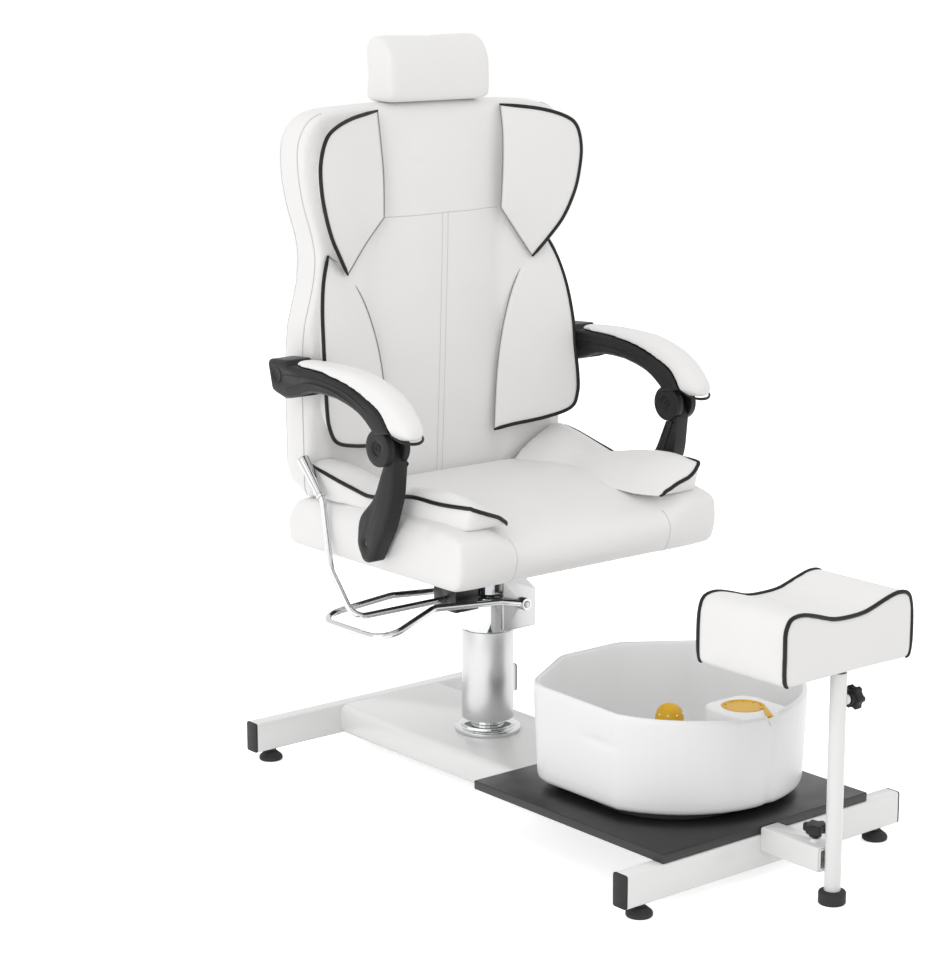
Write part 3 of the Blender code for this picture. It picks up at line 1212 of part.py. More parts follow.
def basin_pieces():
    basin = add_piece("basin", basin_shell(), white_plastic, basin_slide)
    dome_bottom = DOME_TOP - DOME_HEIGHT
    ridge = rectangle((DOME_X, DOME_Y), RIDGE_WIDTH, RIDGE_LENGTH, RIDGE_EDGE)
    join(basin, plate([ridge], "Z", BASIN_BOTTOM + BASIN_WALL / 2, dome_bottom - SEAT_GAP))
    lid_bottom = LID_TOP - LID_HEIGHT
    shelf = [(LID_X + POCKET_WIDTH * (step / 4 - 0.5), 0) for step in range(5)]
    shelf = [(x, basin_front_at(x)) for x, _ in shelf]
    shelf += [(shelf[-1][0], LID_Y + POCKET_REAR), (shelf[0][0], LID_Y + POCKET_REAR)]
    radii = [0] * 5 + [POCKET_EDGE] * 2
    shelf_top = lid_bottom + LID_HEIGHT / 2
    join(basin, plate([fillet(shelf, radii, 4)], "Z", lid_bottom - POCKET_DEPTH, shelf_top))
    recess = LID_RADIUS + SLIDE_GAP
    cut(basin, cylinder("Z", lid_bottom - SEAT_GAP, LID_TOP, (LID_X, LID_Y), recess, 24))
    wall = basin_front_at(NOTCH_X)
    rim = BOARD_TOP + BASIN_FRONT_RIM
    notch_low = (NOTCH_X - NOTCH_WIDTH / 2, wall - NOTCH_WIDTH, rim - NOTCH_DEPTH)
    notch_high = (NOTCH_X + NOTCH_WIDTH / 2, wall + NOTCH_WIDTH, rim + NOTCH_DEPTH)
    cut(basin, box(notch_low, notch_high))

    base = plate([basin_outline(BASIN_BASE_INSET)], "Z", BASIN_BASE_BOTTOM,
                 BASIN_BASE_BOTTOM + BASIN_BASE_HEIGHT)
    round_edges(add_piece("basin_base", base, black_plastic, basin_slide), BASIN_BASE_HEIGHT * 0.2, 1)

    steps = 5
    turns = [math.pi / 2 * step / steps for step in range(steps + 1)]
    cap = DOME_HEIGHT - DOME_RADIUS
    profile = [(DOME_RADIUS * math.sin(turn), cap + DOME_RADIUS * math.cos(turn)) for turn in turns]
    profile[0] = (0.0, DOME_HEIGHT)
    dome = turned("massage_dome", profile + [(DOME_RADIUS, 0), (0, 0)], yellow_plastic, basin_slide, 20)
    dome.location = (DOME_X, DOME_Y, dome_bottom)

    strainer = [(0, 0)] + ring((0, 0), LID_RADIUS * 0.55, 6)
    holes = [ring((LID_X + x, LID_Y + y), STRAINER_RADIUS, 8) for x, y in strainer]
    lid = plate([ring((LID_X, LID_Y), LID_RADIUS, 24)] + holes, "Z", lid_bottom, LID_TOP)
    lid_axis = joint_axis("infuser_lid_axis", (LID_X, LID_Y, LID_TOP), basin_slide)
    add_piece("infuser_lid", lid, yellow_plastic, lid_axis)


for leftover in list(bpy.data.objects):
    bpy.data.objects.remove(leftover, do_unlink=True)
parts = bpy.data.collections.new("pedicure_chair")
cutters = bpy.data.collections.new("cutters")
for group in (parts, cutters):
    bpy.context.scene.collection.children.link(group)

white_leather = make_material("white_leather", (0.84, 0.83, 0.82), 0.45)
white_paint = make_material("white_paint", (0.86, 0.86, 0.86), 0.25)
white_plastic = make_material("white_plastic", (0.87, 0.87, 0.87), 0.22)
black_plastic = make_material("black_plastic", (0.022, 0.022, 0.023), 0.45)
black_board = make_material("black_board", (0.016, 0.016, 0.017), 0.35)
black_steel = make_material("black_steel", (0.018, 0.018, 0.019), 0.4, 0.3)
satin_steel = make_material("satin_steel", (0.62, 0.62, 0.62), 0.32, 1.0)
chrome = make_material("chrome", (0.75, 0.75, 0.76), 0.08, 1.0)
nylon = make_material("nylon", (0.75, 0.75, 0.72), 0.5)
plywood = make_material("plywood", (0.55, 0.40, 0.24), 0.6)
yellow_plastic = make_material("yellow_plastic", (0.74, 0.39, 0.03), 0.35)

column = joint_axis("column_axis", (0, COLUMN_Y, 0))
lift = joint_axis("lift_axis", (0, 0, SLEEVE_BOTTOM), column)
seat = joint_axis("swivel_axis", (0, 0, COLLAR_BOTTOM), lift)
back = joint_axis("recline_axis", (0, HINGE_Y, HINGE_Z), seat)
headrest = joint_axis("headrest_axis", (0, BACK_FACE, BACK_TOP), back)
carriage = joint_axis("footrest_reach_axis", (0, TUBE_Y, SOCKET_BOTTOM), column)
rest = joint_axis("footrest_lift_axis", (0, TUBE_Y, TUBE_TOP), carriage)
basin_slide = joint_axis("basin_slide_axis", (BASIN_X, DOME_Y, BOARD_TOP), column)

base_frame()
footboard()
column_pieces()
lever_bracket()
pump_lever()
recline_control()
seat_pieces()
for hand, way in SIDES.items():
    hinge_plate("hinge_plate_" + hand, way)
    upright("back_upright_" + hand, way)
back_cushion()
back_pads()
headrest_pieces()
arms()
rail_socket()
footrest_post()
footrest_head()
basin_pieces()
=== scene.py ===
import math

import bmesh
import bpy
from mathutils import Matrix, Vector
from mathutils.bvhtree import BVHTree
from mathutils.kdtree import KDTree


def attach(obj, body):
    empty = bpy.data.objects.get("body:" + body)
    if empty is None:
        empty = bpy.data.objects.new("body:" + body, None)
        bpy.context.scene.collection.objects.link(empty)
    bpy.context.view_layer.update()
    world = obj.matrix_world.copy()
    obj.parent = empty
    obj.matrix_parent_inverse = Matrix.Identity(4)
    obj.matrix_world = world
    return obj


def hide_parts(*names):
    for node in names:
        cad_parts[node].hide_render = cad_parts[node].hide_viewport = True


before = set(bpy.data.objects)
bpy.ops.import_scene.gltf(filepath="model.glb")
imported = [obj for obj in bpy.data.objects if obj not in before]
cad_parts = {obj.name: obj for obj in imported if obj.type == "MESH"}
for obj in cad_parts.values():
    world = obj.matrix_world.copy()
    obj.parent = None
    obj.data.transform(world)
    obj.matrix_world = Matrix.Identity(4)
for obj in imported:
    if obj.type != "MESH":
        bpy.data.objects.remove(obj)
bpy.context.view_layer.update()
scene = bpy.context.scene

# Studio: a white sweep with one broad soft lamp at the chair's right side and a white surround.
# The camera stands a little above the headrest, ahead of the chair's right front corner.


def linear(code):
    """Linear colour of an sRGB hex value."""
    parts = [int(code[place:place + 2], 16) / 255 for place in (0, 2, 4)]
    return [part / 12.92 if part <= 0.04045 else ((part + 0.055) / 1.055) ** 2.4 for part in parts] + [1.0]


def add(owner, kind, sockets, **settings):
    """Add one shader node: settings on the node itself, values or links on its sockets."""
    made = owner.node_tree.nodes.new("ShaderNode" + kind)
    for name, value in settings.items():
        setattr(made, name, value)
    for name, value in sockets.items():
        if isinstance(value, bpy.types.NodeSocket):
            owner.node_tree.links.new(value, made.inputs[name])
        else:
            made.inputs[name].default_value = value
    return made


def seen_by(owner, *rays):
    """Output that is 1 for the named kinds of ray."""
    path = add(owner, "LightPath", {})
    found = path.outputs[rays[0]]
    for ray in rays[1:]:
        found = add(owner, "Math", {0: found, 1: path.outputs[ray]}, operation="MAXIMUM").outputs[0]
    return found


def object_of(name, shape):
    """Put a shape in the scene as an object."""
    made = bpy.data.objects.new(name, bpy.data.meshes.new(name))
    shape.to_mesh(made.data)
    shape.free()
    scene.collection.objects.link(made)
    return made


camera = bpy.data.objects.new("camera", bpy.data.cameras.new("camera"))
camera.location = (-2.737, -3.031, 1.439)
camera.rotation_euler = (math.radians(90 - 12.107), 0, math.radians(-39.388))
camera.data.sensor_width = 36
camera.data.lens = 94.33
scene.collection.objects.link(camera)
scene.camera = camera
scene.view_settings.view_transform = "Standard"

world = bpy.data.worlds.new("white studio")
scene.world = world
world.use_nodes = True
seen = seen_by(world, "Is Camera Ray", "Is Glossy Ray", "Is Transmission Ray")
strength = add(world, "MapRange", {"Value": seen, "To Min": 0.96, "To Max": 1.0})
background = world.node_tree.nodes["Background"]
background.inputs["Color"].default_value = (1, 1, 1, 1)
world.node_tree.links.new(strength.outputs["Result"], background.inputs["Strength"])

lamp = bpy.data.objects.new("side lamp", bpy.data.lights.new("side lamp", "AREA"))
lamp.data.shape = "RECTANGLE"
lamp.data.size = 2.6
lamp.data.size_y = 2.2
lamp.data.energy = 19
lamp.location = (-3.2, -0.4, 1.5)
lamp.rotation_euler = Vector((3.2, 0.5, -0.9)).to_track_quat("-Z", "Y").to_euler()
scene.collection.objects.link(lamp)

sweep = bmesh.new()
bmesh.ops.create_grid(sweep, x_segments=2, y_segments=2, size=6)
studio_floor = object_of("floor", sweep)
paper = bpy.data.materials.new("white background paper")
paper.use_nodes = True
seen = seen_by(paper, "Is Camera Ray", "Is Glossy Ray")
glow = add(paper, "Math", {0: seen, 1: 0.62}, operation="MULTIPLY")
shader = paper.node_tree.nodes["Principled BSDF"]
shader.inputs["Base Color"].default_value = linear("F2F2F2")
shader.inputs["Roughness"].default_value = 0.9
shader.inputs["Specular IOR Level"].default_value = 0.0
shader.inputs["Emission Color"].default_value = (1, 1, 1, 1)
paper.node_tree.links.new(glow.outputs[0], shader.inputs["Emission Strength"])
studio_floor.data.materials.append(paper)

# Base frame: a broad box beam and two crossbars of rectangular steel tube, welded to an I and powder
# coated white, with the square socket for the footrest's rail welded on in front.


def surface(name, colour, roughness, metallic=0.0, tones=None, gloss=None, grain=None, **values):
    """New material; values that are the same all over sit on the shader's own sockets.

    Noise over the piece moves the colour between two tones and the roughness between two ends of the gloss,
    and raises a grain of a depth in metres. The size of its lumps in metres comes last in each, with its
    detail and stretch where they aren't the usual ones."""
    material = bpy.data.materials.new(name)
    material.use_nodes = True
    shader = material.node_tree.nodes["Principled BSDF"]
    shader.inputs["Base Color"].default_value = linear(colour)
    shader.inputs["Roughness"].default_value = roughness
    shader.inputs["Metallic"].default_value = metallic
    for socket, value in values.items():
        shader.inputs[socket.replace("_", " ")].default_value = value

    def speckle(size, detail=2.0, stretch=(1, 1, 1)):
        place = add(material, "TexCoord", {}).outputs["Object"]
        place = add(material, "Mapping", {"Vector": place, "Scale": stretch}).outputs["Vector"]
        lumps = add(material, "TexNoise", {"Vector": place, "Scale": 1 / size, "Detail": detail})
        return lumps.outputs["Fac"]

    if tones:
        dark, light, *noise = tones
        blend = add(material, "Mix", {0: speckle(*noise), 6: linear(dark), 7: linear(light)},
                    data_type="RGBA")
        material.node_tree.links.new(blend.outputs[2], shader.inputs["Base Color"])
    if gloss:
        low, high, *noise = gloss
        spread = add(material, "MapRange", {"Value": speckle(*noise), "From Min": 0.3, "From Max": 0.7,
                                            "To Min": low, "To Max": high})
        material.node_tree.links.new(spread.outputs["Result"], shader.inputs["Roughness"])
    if grain:
        depth, *noise = grain
        bump = add(material, "Bump", {"Height": speckle(*noise), "Distance": depth, "Strength": 1.0})
        material.node_tree.links.new(bump.outputs["Normal"], shader.inputs["Normal"])
    return material


def ease(shape, width, angle=30, segments=2):
    """Round the sharp edges of a shape."""
    sharp = [edge for edge in shape.edges
             if len(edge.link_faces) == 2 and edge.calc_face_angle() > math.radians(angle)]
    bmesh.ops.bevel(shape, geom=sharp, offset=width, affect="EDGES", segments=segments, profile=0.5,
                    clamp_overlap=True, material=-1)


def copy_of(node):
    """Merged copy of a CAD node's mesh, with its flat faces whole again."""
    shape = bmesh.new()
    shape.from_mesh(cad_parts[node].data)
    bmesh.ops.remove_doubles(shape, verts=shape.verts, dist=1e-5)
    bmesh.ops.dissolve_limit(shape, angle_limit=math.radians(1), verts=shape.verts, edges=shape.edges)
    return shape


def eased(node, width, angle=30):
    """Merged copy of a CAD node's mesh with its sharp edges rounded."""
    shape = copy_of(node)
    ease(shape, width, angle)
    return shape


def finished(name, shape, material, body, slot, *nodes, smooth=40):
    """Make a piece of a shape, let it ride on a body and stand for CAD nodes."""
    piece = object_of(name, shape)
    piece.data.shade_smooth()
    piece.data.set_sharp_from_angle(angle=math.radians(smooth))
    piece.data.materials.append(material)
    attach(piece, body)
    if nodes:
        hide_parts(*nodes)
    return piece


# Powder coat: a baked gloss skin whose faint orange peel breaks up the reflections.
powder_coat = surface("white powder coat", "EAEAE9", 0.20, gloss=(0.18, 0.23, 0.15, 0.0),
                      grain=(0.00004, 0.003), Specular_IOR_Level=0.5)
for node in ("base_beam", "front_crossbar", "rear_crossbar", "rail_socket"):
    finished(node + "_tube", eased(node, 0.0012), powder_coat, "base", "white_paint", node)

# End plugs: moulded black polypropylene plates, one for each of the four open ends of the crossbars,
# pushed in until the plate covers the cut edge of the tube.

# Moulded black plastic: a satin skin off a spark-eroded mould, a touch greyer where light grazes it.
black_moulding = surface("black moulded polypropylene", "242425", 0.5, tones=("202021", "29292A", 0.04),
                         gloss=(0.42, 0.55, 0.02), grain=(0.00008, 0.0012), Specular_IOR_Level=0.3)
for node in ("bar_cap_front_left", "bar_cap_front_right", "bar_cap_rear_left", "bar_cap_rear_right"):
    finished(node + "_plug", eased(node, 0.0007), black_moulding, "base", "black_plastic", node)

# Levelling feet: round black rubber pads with a hexagon and a stud moulded in, screwed up into the
# crossbars near their ends and turned to level the chair.


def moved(shape, way):
    """Shift a whole shape."""
    bmesh.ops.translate(shape, verts=shape.verts, vec=way)
    return shape


def turned(profile, centre, steps=64, edge=0.0):
    """Spin a profile of (radius, height) points round an upright axis, and round its corners."""
    shape = bmesh.new()
    points = [shape.verts.new((radius, 0, height)) for radius, height in profile]
    edges = [shape.edges.new(pair) for pair in zip(points, points[1:])]
    bmesh.ops.spin(shape, geom=points + edges, cent=(0, 0, 0), axis=(0, 0, 1), angle=2 * math.pi, steps=steps,
                   use_merge=True)
    bmesh.ops.remove_doubles(shape, verts=shape.verts, dist=1e-6)
    bmesh.ops.recalc_face_normals(shape, faces=shape.faces)
    if edge:
        ease(shape, edge, 25)
    return moved(shape, centre)


def joined(*shapes):
    """One shape of several."""
    whole = bmesh.new()
    for shape in shapes:
        part = bpy.data.meshes.new("part")
        shape.to_mesh(part)
        shape.free()
        whole.from_mesh(part)
        bpy.data.meshes.remove(part)
    return whole


# Rubber: matt and slightly dusty, with no clear highlight.
rubber = surface("black moulded rubber", "242424", 0.72, tones=("202020", "2B2B2A", 0.012),
                 grain=(0.0001, 0.0015))
foot_profile = [(0, 0), (0.0196, 0), (0.021, 0.002), (0.021, 0.0062), (0.0196, 0.0085), (0.0150, 0.0125),
                (0.0112, 0.0155), (0, 0.0155)]
stud_profile = [(0, 0.0215), (0.0048, 0.0215), (0.0048, 0.041), (0.0042, 0.042), (0, 0.042)]
for end, y in (("front", -0.40805), ("rear", 0.55995)):
    for side, x in (("left", 0.263), ("right", -0.263)):
        node = f"levelling_foot_{end}_{side}"
        pad = turned(foot_profile, (x, y, 0), 48, 0.0008)
        nut = bmesh.new()
        bmesh.ops.create_cone(nut, cap_ends=True, segments=6, radius1=0.0098, radius2=0.0098, depth=0.0062)
        ease(nut, 0.0006)
        moved(nut, (x, y, 0.0186))
        stud = turned(stud_profile, (x, y, 0), 24)
        finished(node + "_pad", joined(pad, nut, stud), rubber, node, "black_plastic", node)

# Footboard: a melamine-faced particle board, black on its face and edged with a slightly paler band,
# screwed down on the front of the beam and crossbar.

# Melamine facing: hard and semi-gloss, its fine pearl grain blurring what it reflects.
board_face = surface("black melamine facing", "1D1D1E", 0.34, gloss=(0.30, 0.40, 0.05),
                     grain=(0.00007, 0.0022, 3.0), Specular_IOR_Level=0.42)
# Edge band: a strip of the same resin ironed on, greyer because it is matt.
board_edge = surface("black edge band", "303031", 0.55, tones=("2C2C2D", "343435", 0.015))
shape = eased("footboard", 0.001)
for face in shape.faces:
    face.material_index = 0 if face.normal.z > 0.8 else 1
board = finished("footboard_panel", shape, board_face, "base", "black_board", "footboard")
board.data.materials.append(board_edge)

# Column: a bolted flange and polished ram on the beam, the satin sleeve that rises on it with its guide
# bush, and the chromed pump head that turns on top of the sleeve.

# Chrome plate: mirror bright, with only a trace of blur from the polished steel beneath.
chrome = surface("chrome plate", "D6D7D8", 0.09, 1.0, gloss=(0.06, 0.13, 0.03))
# Satin steel: brushed round the tube, so highlights smear upwards and the rims fall to grey.
scratches = (0.004, 3.0, (1, 1, 14))
satin = surface("brushed nickel-plated steel", "CFCFCF", 0.34, 1.0, gloss=(0.28, 0.40, *scratches),
                grain=(0.00003, *scratches), Anisotropic=0.5)
# Nylon: a waxy off-white bush that only shows when the column is raised.
nylon = surface("natural nylon", "E4E1D6", 0.45, tones=("E0DDD2", "E8E5DB", 0.02))
column_y = 0.26695
axis = (0, column_y, 0)


def wall_of(inner, outer, low, high):
    """Closed profile of a tube's wall."""
    return [(inner, low), (outer, low), (outer, high), (inner, high), (inner, low)]


flange = turned([(0, 0.0763), (0.058, 0.0763), (0.058, 0.0826), (0.0555, 0.0838), (0.0495, 0.0838),
                 (0.0475, 0.0850), (0.0475, 0.0890), (0.0465, 0.0900), (0, 0.0900)], axis, 96, 0.0005)
finished("column_flange_ring", flange, chrome, "base", "chrome", "column_flange")
ram = turned([(0, 0.0903), (0.030, 0.0903), (0.030, 0.3120), (0, 0.3120)], axis, 64, 0.0006)
finished("column_ram_rod", ram, chrome, "base", "chrome", "column_ram")
sleeve = turned(wall_of(0.042, 0.0455, 0.1003, 0.2615), axis, 96, 0.0006)
finished("column_sleeve_tube", sleeve, satin, "lift", "satin_steel", "column_sleeve")
finished("sleeve_guide_bush", eased("sleeve_bush", 0.0006), nylon, "lift", "nylon", "sleeve_bush")
head = turned([(0, 0.409), (0.047, 0.409), (0.047, 0.402), (0.030, 0.402), (0.030, 0.327), (0.0435, 0.327),
               (0.0465, 0.324), (0.0465, 0.2640), (0.0460, 0.2622), (0.0315, 0.2622), (0.0315, 0.320),
               (0, 0.320)], axis, 96, 0.0007)
finished("pump_head_collar", head, chrome, "seat", "chrome", "pump_head")

# Pump lever: a steel rod bent to a U round the column and chromed, hung by an eye on each stud of a
# pressed saddle that sits on the collar; the far bar of the U is the pedal.


def bent(points, radii, steps=6):
    """Path through points whose inner corners are rounded to bend radii."""
    route = [Vector(points[0])]
    spare = [0.98] + [0.49] * (len(points) - 3) + [0.98]
    for number, (before, corner, after, radius) in enumerate(zip(points, points[1:], points[2:], radii)):
        corner = Vector(corner)
        back = Vector(before) - corner
        onward = Vector(after) - corner
        half = back.angle(onward) / 2
        length = min(radius / math.tan(half), back.length * spare[number], onward.length * spare[number + 1])
        start = corner + back.normalized() * length
        end = corner + onward.normalized() * length
        for step in range(steps + 1):
            share = step / steps
            pull = 2 * math.sin(half) * share * (1 - share)
            whole = (1 - share) ** 2 + pull + share ** 2
            route.append((start * (1 - share) ** 2 + corner * pull + end * share ** 2) / whole)
    return route + [Vector(points[-1])]


def mesh_of(holder):
    """New mesh of an object as its modifiers leave it."""
    return bpy.data.meshes.new_from_object(holder.evaluated_get(bpy.context.evaluated_depsgraph_get()))


def tube(route, radius, sides=4, ends=None):
    """Round rod along a route; ends scales the radius along it."""
    curve = bpy.data.curves.new("rod", "CURVE")
    curve.dimensions = "3D"
    curve.bevel_depth = radius
    curve.bevel_resolution = sides
    curve.use_fill_caps = True
    spline = curve.splines.new("POLY")
    spline.points.add(len(route) - 1)
    for number, (point, place) in enumerate(zip(spline.points, route)):
        point.co = (*place, 1)
        if ends:
            point.radius = ends(number / (len(route) - 1))
    holder = bpy.data.objects.new("rod", curve)
    scene.collection.objects.link(holder)
    made = mesh_of(holder)
    shape = bmesh.new()
    shape.from_mesh(made)
    bmesh.ops.recalc_face_normals(shape, faces=shape.faces)
    bpy.data.objects.remove(holder)
    bpy.data.meshes.remove(made)
    return shape


def along_y(shape, centre):
    """Turn an upright shape to lie along Y about a centre."""
    bmesh.ops.rotate(shape, verts=shape.verts, cent=(0, 0, 0), matrix=Matrix.Rotation(math.pi / 2, 3, "X"))
    return moved(shape, centre)


eye_front = column_y - 0.0580
eye_rear = column_y + 0.0580
lever_arm = [(0.0235, 0.3124), (-0.021, 0.3225), (-0.168, 0.335)]
front_arm = [(x, eye_front, z) for x, z in lever_arm]
rear_arm = [(x, eye_rear, z) for x, z in reversed(lever_arm)]
pedal = [(-0.300, column_y - 0.096, 0.310), (-0.300, column_y + 0.096, 0.310)]
lever = [tube(bent(front_arm + pedal + rear_arm, [0.034] * 6), 0.0058, sides=6)]
for y in (eye_front, eye_rear):
    eye = turned(wall_of(0.0055, 0.011, -0.007, 0.007), (0, 0, 0), 40, 0.0008)
    lever.append(along_y(eye, (0.034, y, 0.310)))
finished("pump_lever_rod", joined(*lever), chrome, "pump_lever", "chrome", "pump_lever")
saddle = eased("lever_bracket", 0.0006)
finished("lever_bracket_saddle", saddle, satin, "seat", "satin_steel", "lever_bracket")

# Seat mount and recline control: a pressed black tray bolted to the pump head, a black channel under it,
# and the bent chromed rod in that channel with its tapered grip.

# Black stove enamel over pressed steel: thin, fairly glossy, with slight waviness from the pressing.
enamel = surface("black stove enamel", "19191A", 0.32, gloss=(0.28, 0.42, 0.03), grain=(0.0002, 0.02))
for node in ("mounting_tray", "recline_bracket"):
    finished(node + "_pressing", eased(node, 0.001), enamel, "seat", "black_steel", node)
rod_y = column_y - 0.010
rod_z = 0.3313
rod_x = -0.300
knee = Vector((rod_x, rod_y + 0.062, rod_z + 0.071))
neck = knee + Vector((0, 0.021, 0.117))
lean = Vector((0, math.sin(math.radians(42)), math.cos(math.radians(42))))
control_points = [(-0.0512, rod_y, rod_z), (rod_x, rod_y, rod_z), knee, neck, neck + lean * 0.025]
control = tube(bent(control_points, [0.026] * 3), 0.0055, sides=6)
finished("recline_lever_rod", control, chrome, "recline_lever", "chrome", "recline_lever")
grip = turned([(0.0058, 0), (0.0078, 0), (0.0085, 0.0012), (0.0085, 0.0052), (0.0072, 0.0066),
               (0.0110, 0.0740), (0.0108, 0.0775), (0.0088, 0.0798), (0, 0.0800), (0, 0.0202),
               (0.0058, 0.0202), (0.0058, 0)], (0, 0, 0), 48, 0.0003)
leaning = Vector((0, 0, 1)).rotation_difference(lean).to_matrix()
bmesh.ops.rotate(grip, verts=grip.verts, cent=(0, 0, 0), matrix=leaning)
moved(grip, neck + lean * 0.0055)
finished("recline_grip_taper", grip, chrome, "recline_lever", "chrome", "recline_grip")

# Recline hinge: steel plates and pins on the seat, and flat steel uprights in the back that carry the
# studs of the armrests; spacers and pins at the seat's sides carry the arm links. Flanges under the seat
# are drawn up into it, and plates and lower ends of the uprights are set in, behind the covers.
flange_top = 0.424
cover_top = 0.560
for part, body, set_in in (("hinge_plate", "seat", 0.020), ("arm_pivot", "seat", 0.0),
                           ("back_upright", "back", 0.020)):
    for node in (part + "_left", part + "_right"):
        shape = copy_of(node)
        for vertex in shape.verts:
            if vertex.co.z < flange_top:
                vertex.co.z = flange_top + (vertex.co.z - flange_top) * 0.1
            if vertex.co.z < cover_top:
                vertex.co.x -= math.copysign(set_in, vertex.co.x)
        ease(shape, 0.0006)
        finished(node + "_steel", shape, enamel, body, "black_steel", node)

# Seat cushion: moulded foam on a plywood board, under a white vinyl cover with a rolled front panel sewn in
# between two corner blocks; the cover wraps under the edge of the board.


def through(points, steps=8, closed=False):
    """Smooth route through points."""
    places = [Vector(point) for point in points]
    count = len(places)
    route = []
    for index in range(count if closed else count - 1):
        if closed:
            a, b, c, d = [places[(index + step - 1) % count] for step in range(4)]
        else:
            a, b, c, d = [places[min(max(index + step - 1, 0), count - 1)] for step in range(4)]
        for step in range(steps):
            t = step / steps
            route.append((2 * b + (c - a) * t + (2 * a - 5 * b + 4 * c - d) * t ** 2
                          + (3 * b - a - 3 * c + d) * t ** 3) / 2)
    return route if closed else route + [places[-1]]


def side_line(pairs):
    """Smooth line through (y, z) pairs, held as the x and y of its points."""
    return through([(y, z, 0) for y, z in pairs])


def on(route, share):
    """Point a share of the way along a route."""
    place = share * (len(route) - 1)
    index = min(int(place), len(route) - 2)
    return route[index].lerp(route[index + 1], place - index)


def soft_step(value):
    """Smooth rise from 0 to 1."""
    value = min(max(value, 0.0), 1.0)
    return value * value * (3 - 2 * value)


def panel(columns, rows, place):
    """Grid of fabric whose point at (u, v), each from 0 to 1, lies at place(u, v)."""
    shape = bmesh.new()
    bmesh.ops.create_grid(shape, x_segments=columns, y_segments=rows, size=0.5)
    for vertex in shape.verts:
        vertex.co = place(vertex.co.x + 0.5, vertex.co.y + 0.5)
    return shape


def closed_up(shape):
    """Fill the open rims of a shape and face it outwards."""
    rim = [edge for edge in shape.edges if edge.is_boundary]
    bmesh.ops.holes_fill(shape, edges=rim, sides=0)
    bmesh.ops.triangulate(shape, faces=[face for face in shape.faces if len(face.verts) > 4])
    bmesh.ops.recalc_face_normals(shape, faces=shape.faces)
    return shape


def wrap(shape, *moves):
    """Carry the open rim of a panel on through moves of a point, and close it at the end."""
    for move in moves:
        rim = [edge for edge in shape.edges if edge.is_boundary]
        made = bmesh.ops.extrude_edge_only(shape, edges=rim)["geom"]
        for vertex in [item for item in made if isinstance(item, bmesh.types.BMVert)]:
            vertex.co = move(vertex.co)
    return closed_up(shape)


def seam_tree(*routes):
    """Points close together along seams, to look up how near a point is to one."""
    places = []
    for route in routes:
        for first, second in zip(route, route[1:]):
            steps = max(1, int((second - first).length / 0.002))
            places += [first.lerp(second, step / steps) for step in range(steps + 1)]
    tree = KDTree(len(places))
    for number, place in enumerate(places):
        tree.insert(place, number)
    tree.balance()
    return tree


def relaxed(shape, rounds):
    """Smooth a shape a number of times."""
    for _ in range(rounds):
        bmesh.ops.smooth_vert(shape, verts=shape.verts, factor=0.5, use_axis_x=True, use_axis_y=True,
                              use_axis_z=True)


def stuffed(shape, tree, fixed, cap, reach=0.007, voxel=0.006):
    """Foam in a sewn cover: a case, remeshed if a voxel is given, blown up to a cap.

    It is held where fixed says so and within reach of the tree of its seams."""
    case = object_of("case", shape)
    if voxel:
        skin = case.modifiers.new("skin", "REMESH")
        skin.mode = "VOXEL"
        skin.voxel_size = voxel
        case.data = mesh_of(case)
        case.modifiers.clear()
        smoothed = bmesh.new()
        smoothed.from_mesh(case.data)
        relaxed(smoothed, 3)
        smoothed.to_mesh(case.data)
        smoothed.free()
    cover = case.data
    start = [vertex.co.copy() for vertex in cover.vertices]
    held = case.vertex_groups.new(name="seams")
    for number, place in enumerate(start):
        hold = 1.0 if fixed(place) else 0.0
        if tree:
            hold = max(hold, min(1.0, 2.0 - tree.find(place)[2] / reach))
        if hold > 0:
            held.add([number], hold, "REPLACE")
    cloth = case.modifiers.new("cover", "CLOTH")
    cloth.settings.quality = 4
    cloth.settings.mass = 0.2
    cloth.settings.use_pressure = True
    cloth.settings.uniform_pressure_force = 4.0
    cloth.settings.effector_weights.gravity = 0
    cloth.settings.vertex_group_mass = "seams"
    cloth.collision_settings.use_collision = False
    for number in range(1, 21):
        scene.frame_set(number)
    blown = mesh_of(case)
    case.modifiers.clear()
    for vertex, place, after in zip(cover.vertices, start, blown.vertices):
        swell = after.co - place
        if swell.length > 1e-6:
            vertex.co = place + swell.normalized() * cap * math.tanh(swell.length / cap)
    scene.frame_set(1)
    shape = bmesh.new()
    shape.from_mesh(case.data)
    bpy.data.objects.remove(case)
    if voxel:
        relaxed(shape, 1)
    return shape


def upholstered(name, shape, body, *nodes):
    """Cushion piece in white vinyl, one subdivision smoother than its cover mesh."""
    piece = finished(name, shape, vinyl, body, "white_leather", *nodes, smooth=180)
    finer = piece.modifiers.new("finer", "SUBSURF")
    finer.levels = 1
    finer.render_levels = 1
    return piece


def laid(route, shape, way, sink=0.0003):
    """Route dropped on a shape along a way, and sunk a little into it."""
    tree = BVHTree.FromBMesh(shape)
    way = Vector(way)
    placed = []
    for place in route:
        hit = tree.ray_cast(place - way * 0.2, way)
        if hit[0]:
            placed.append(hit[0] + way * sink)
    return placed


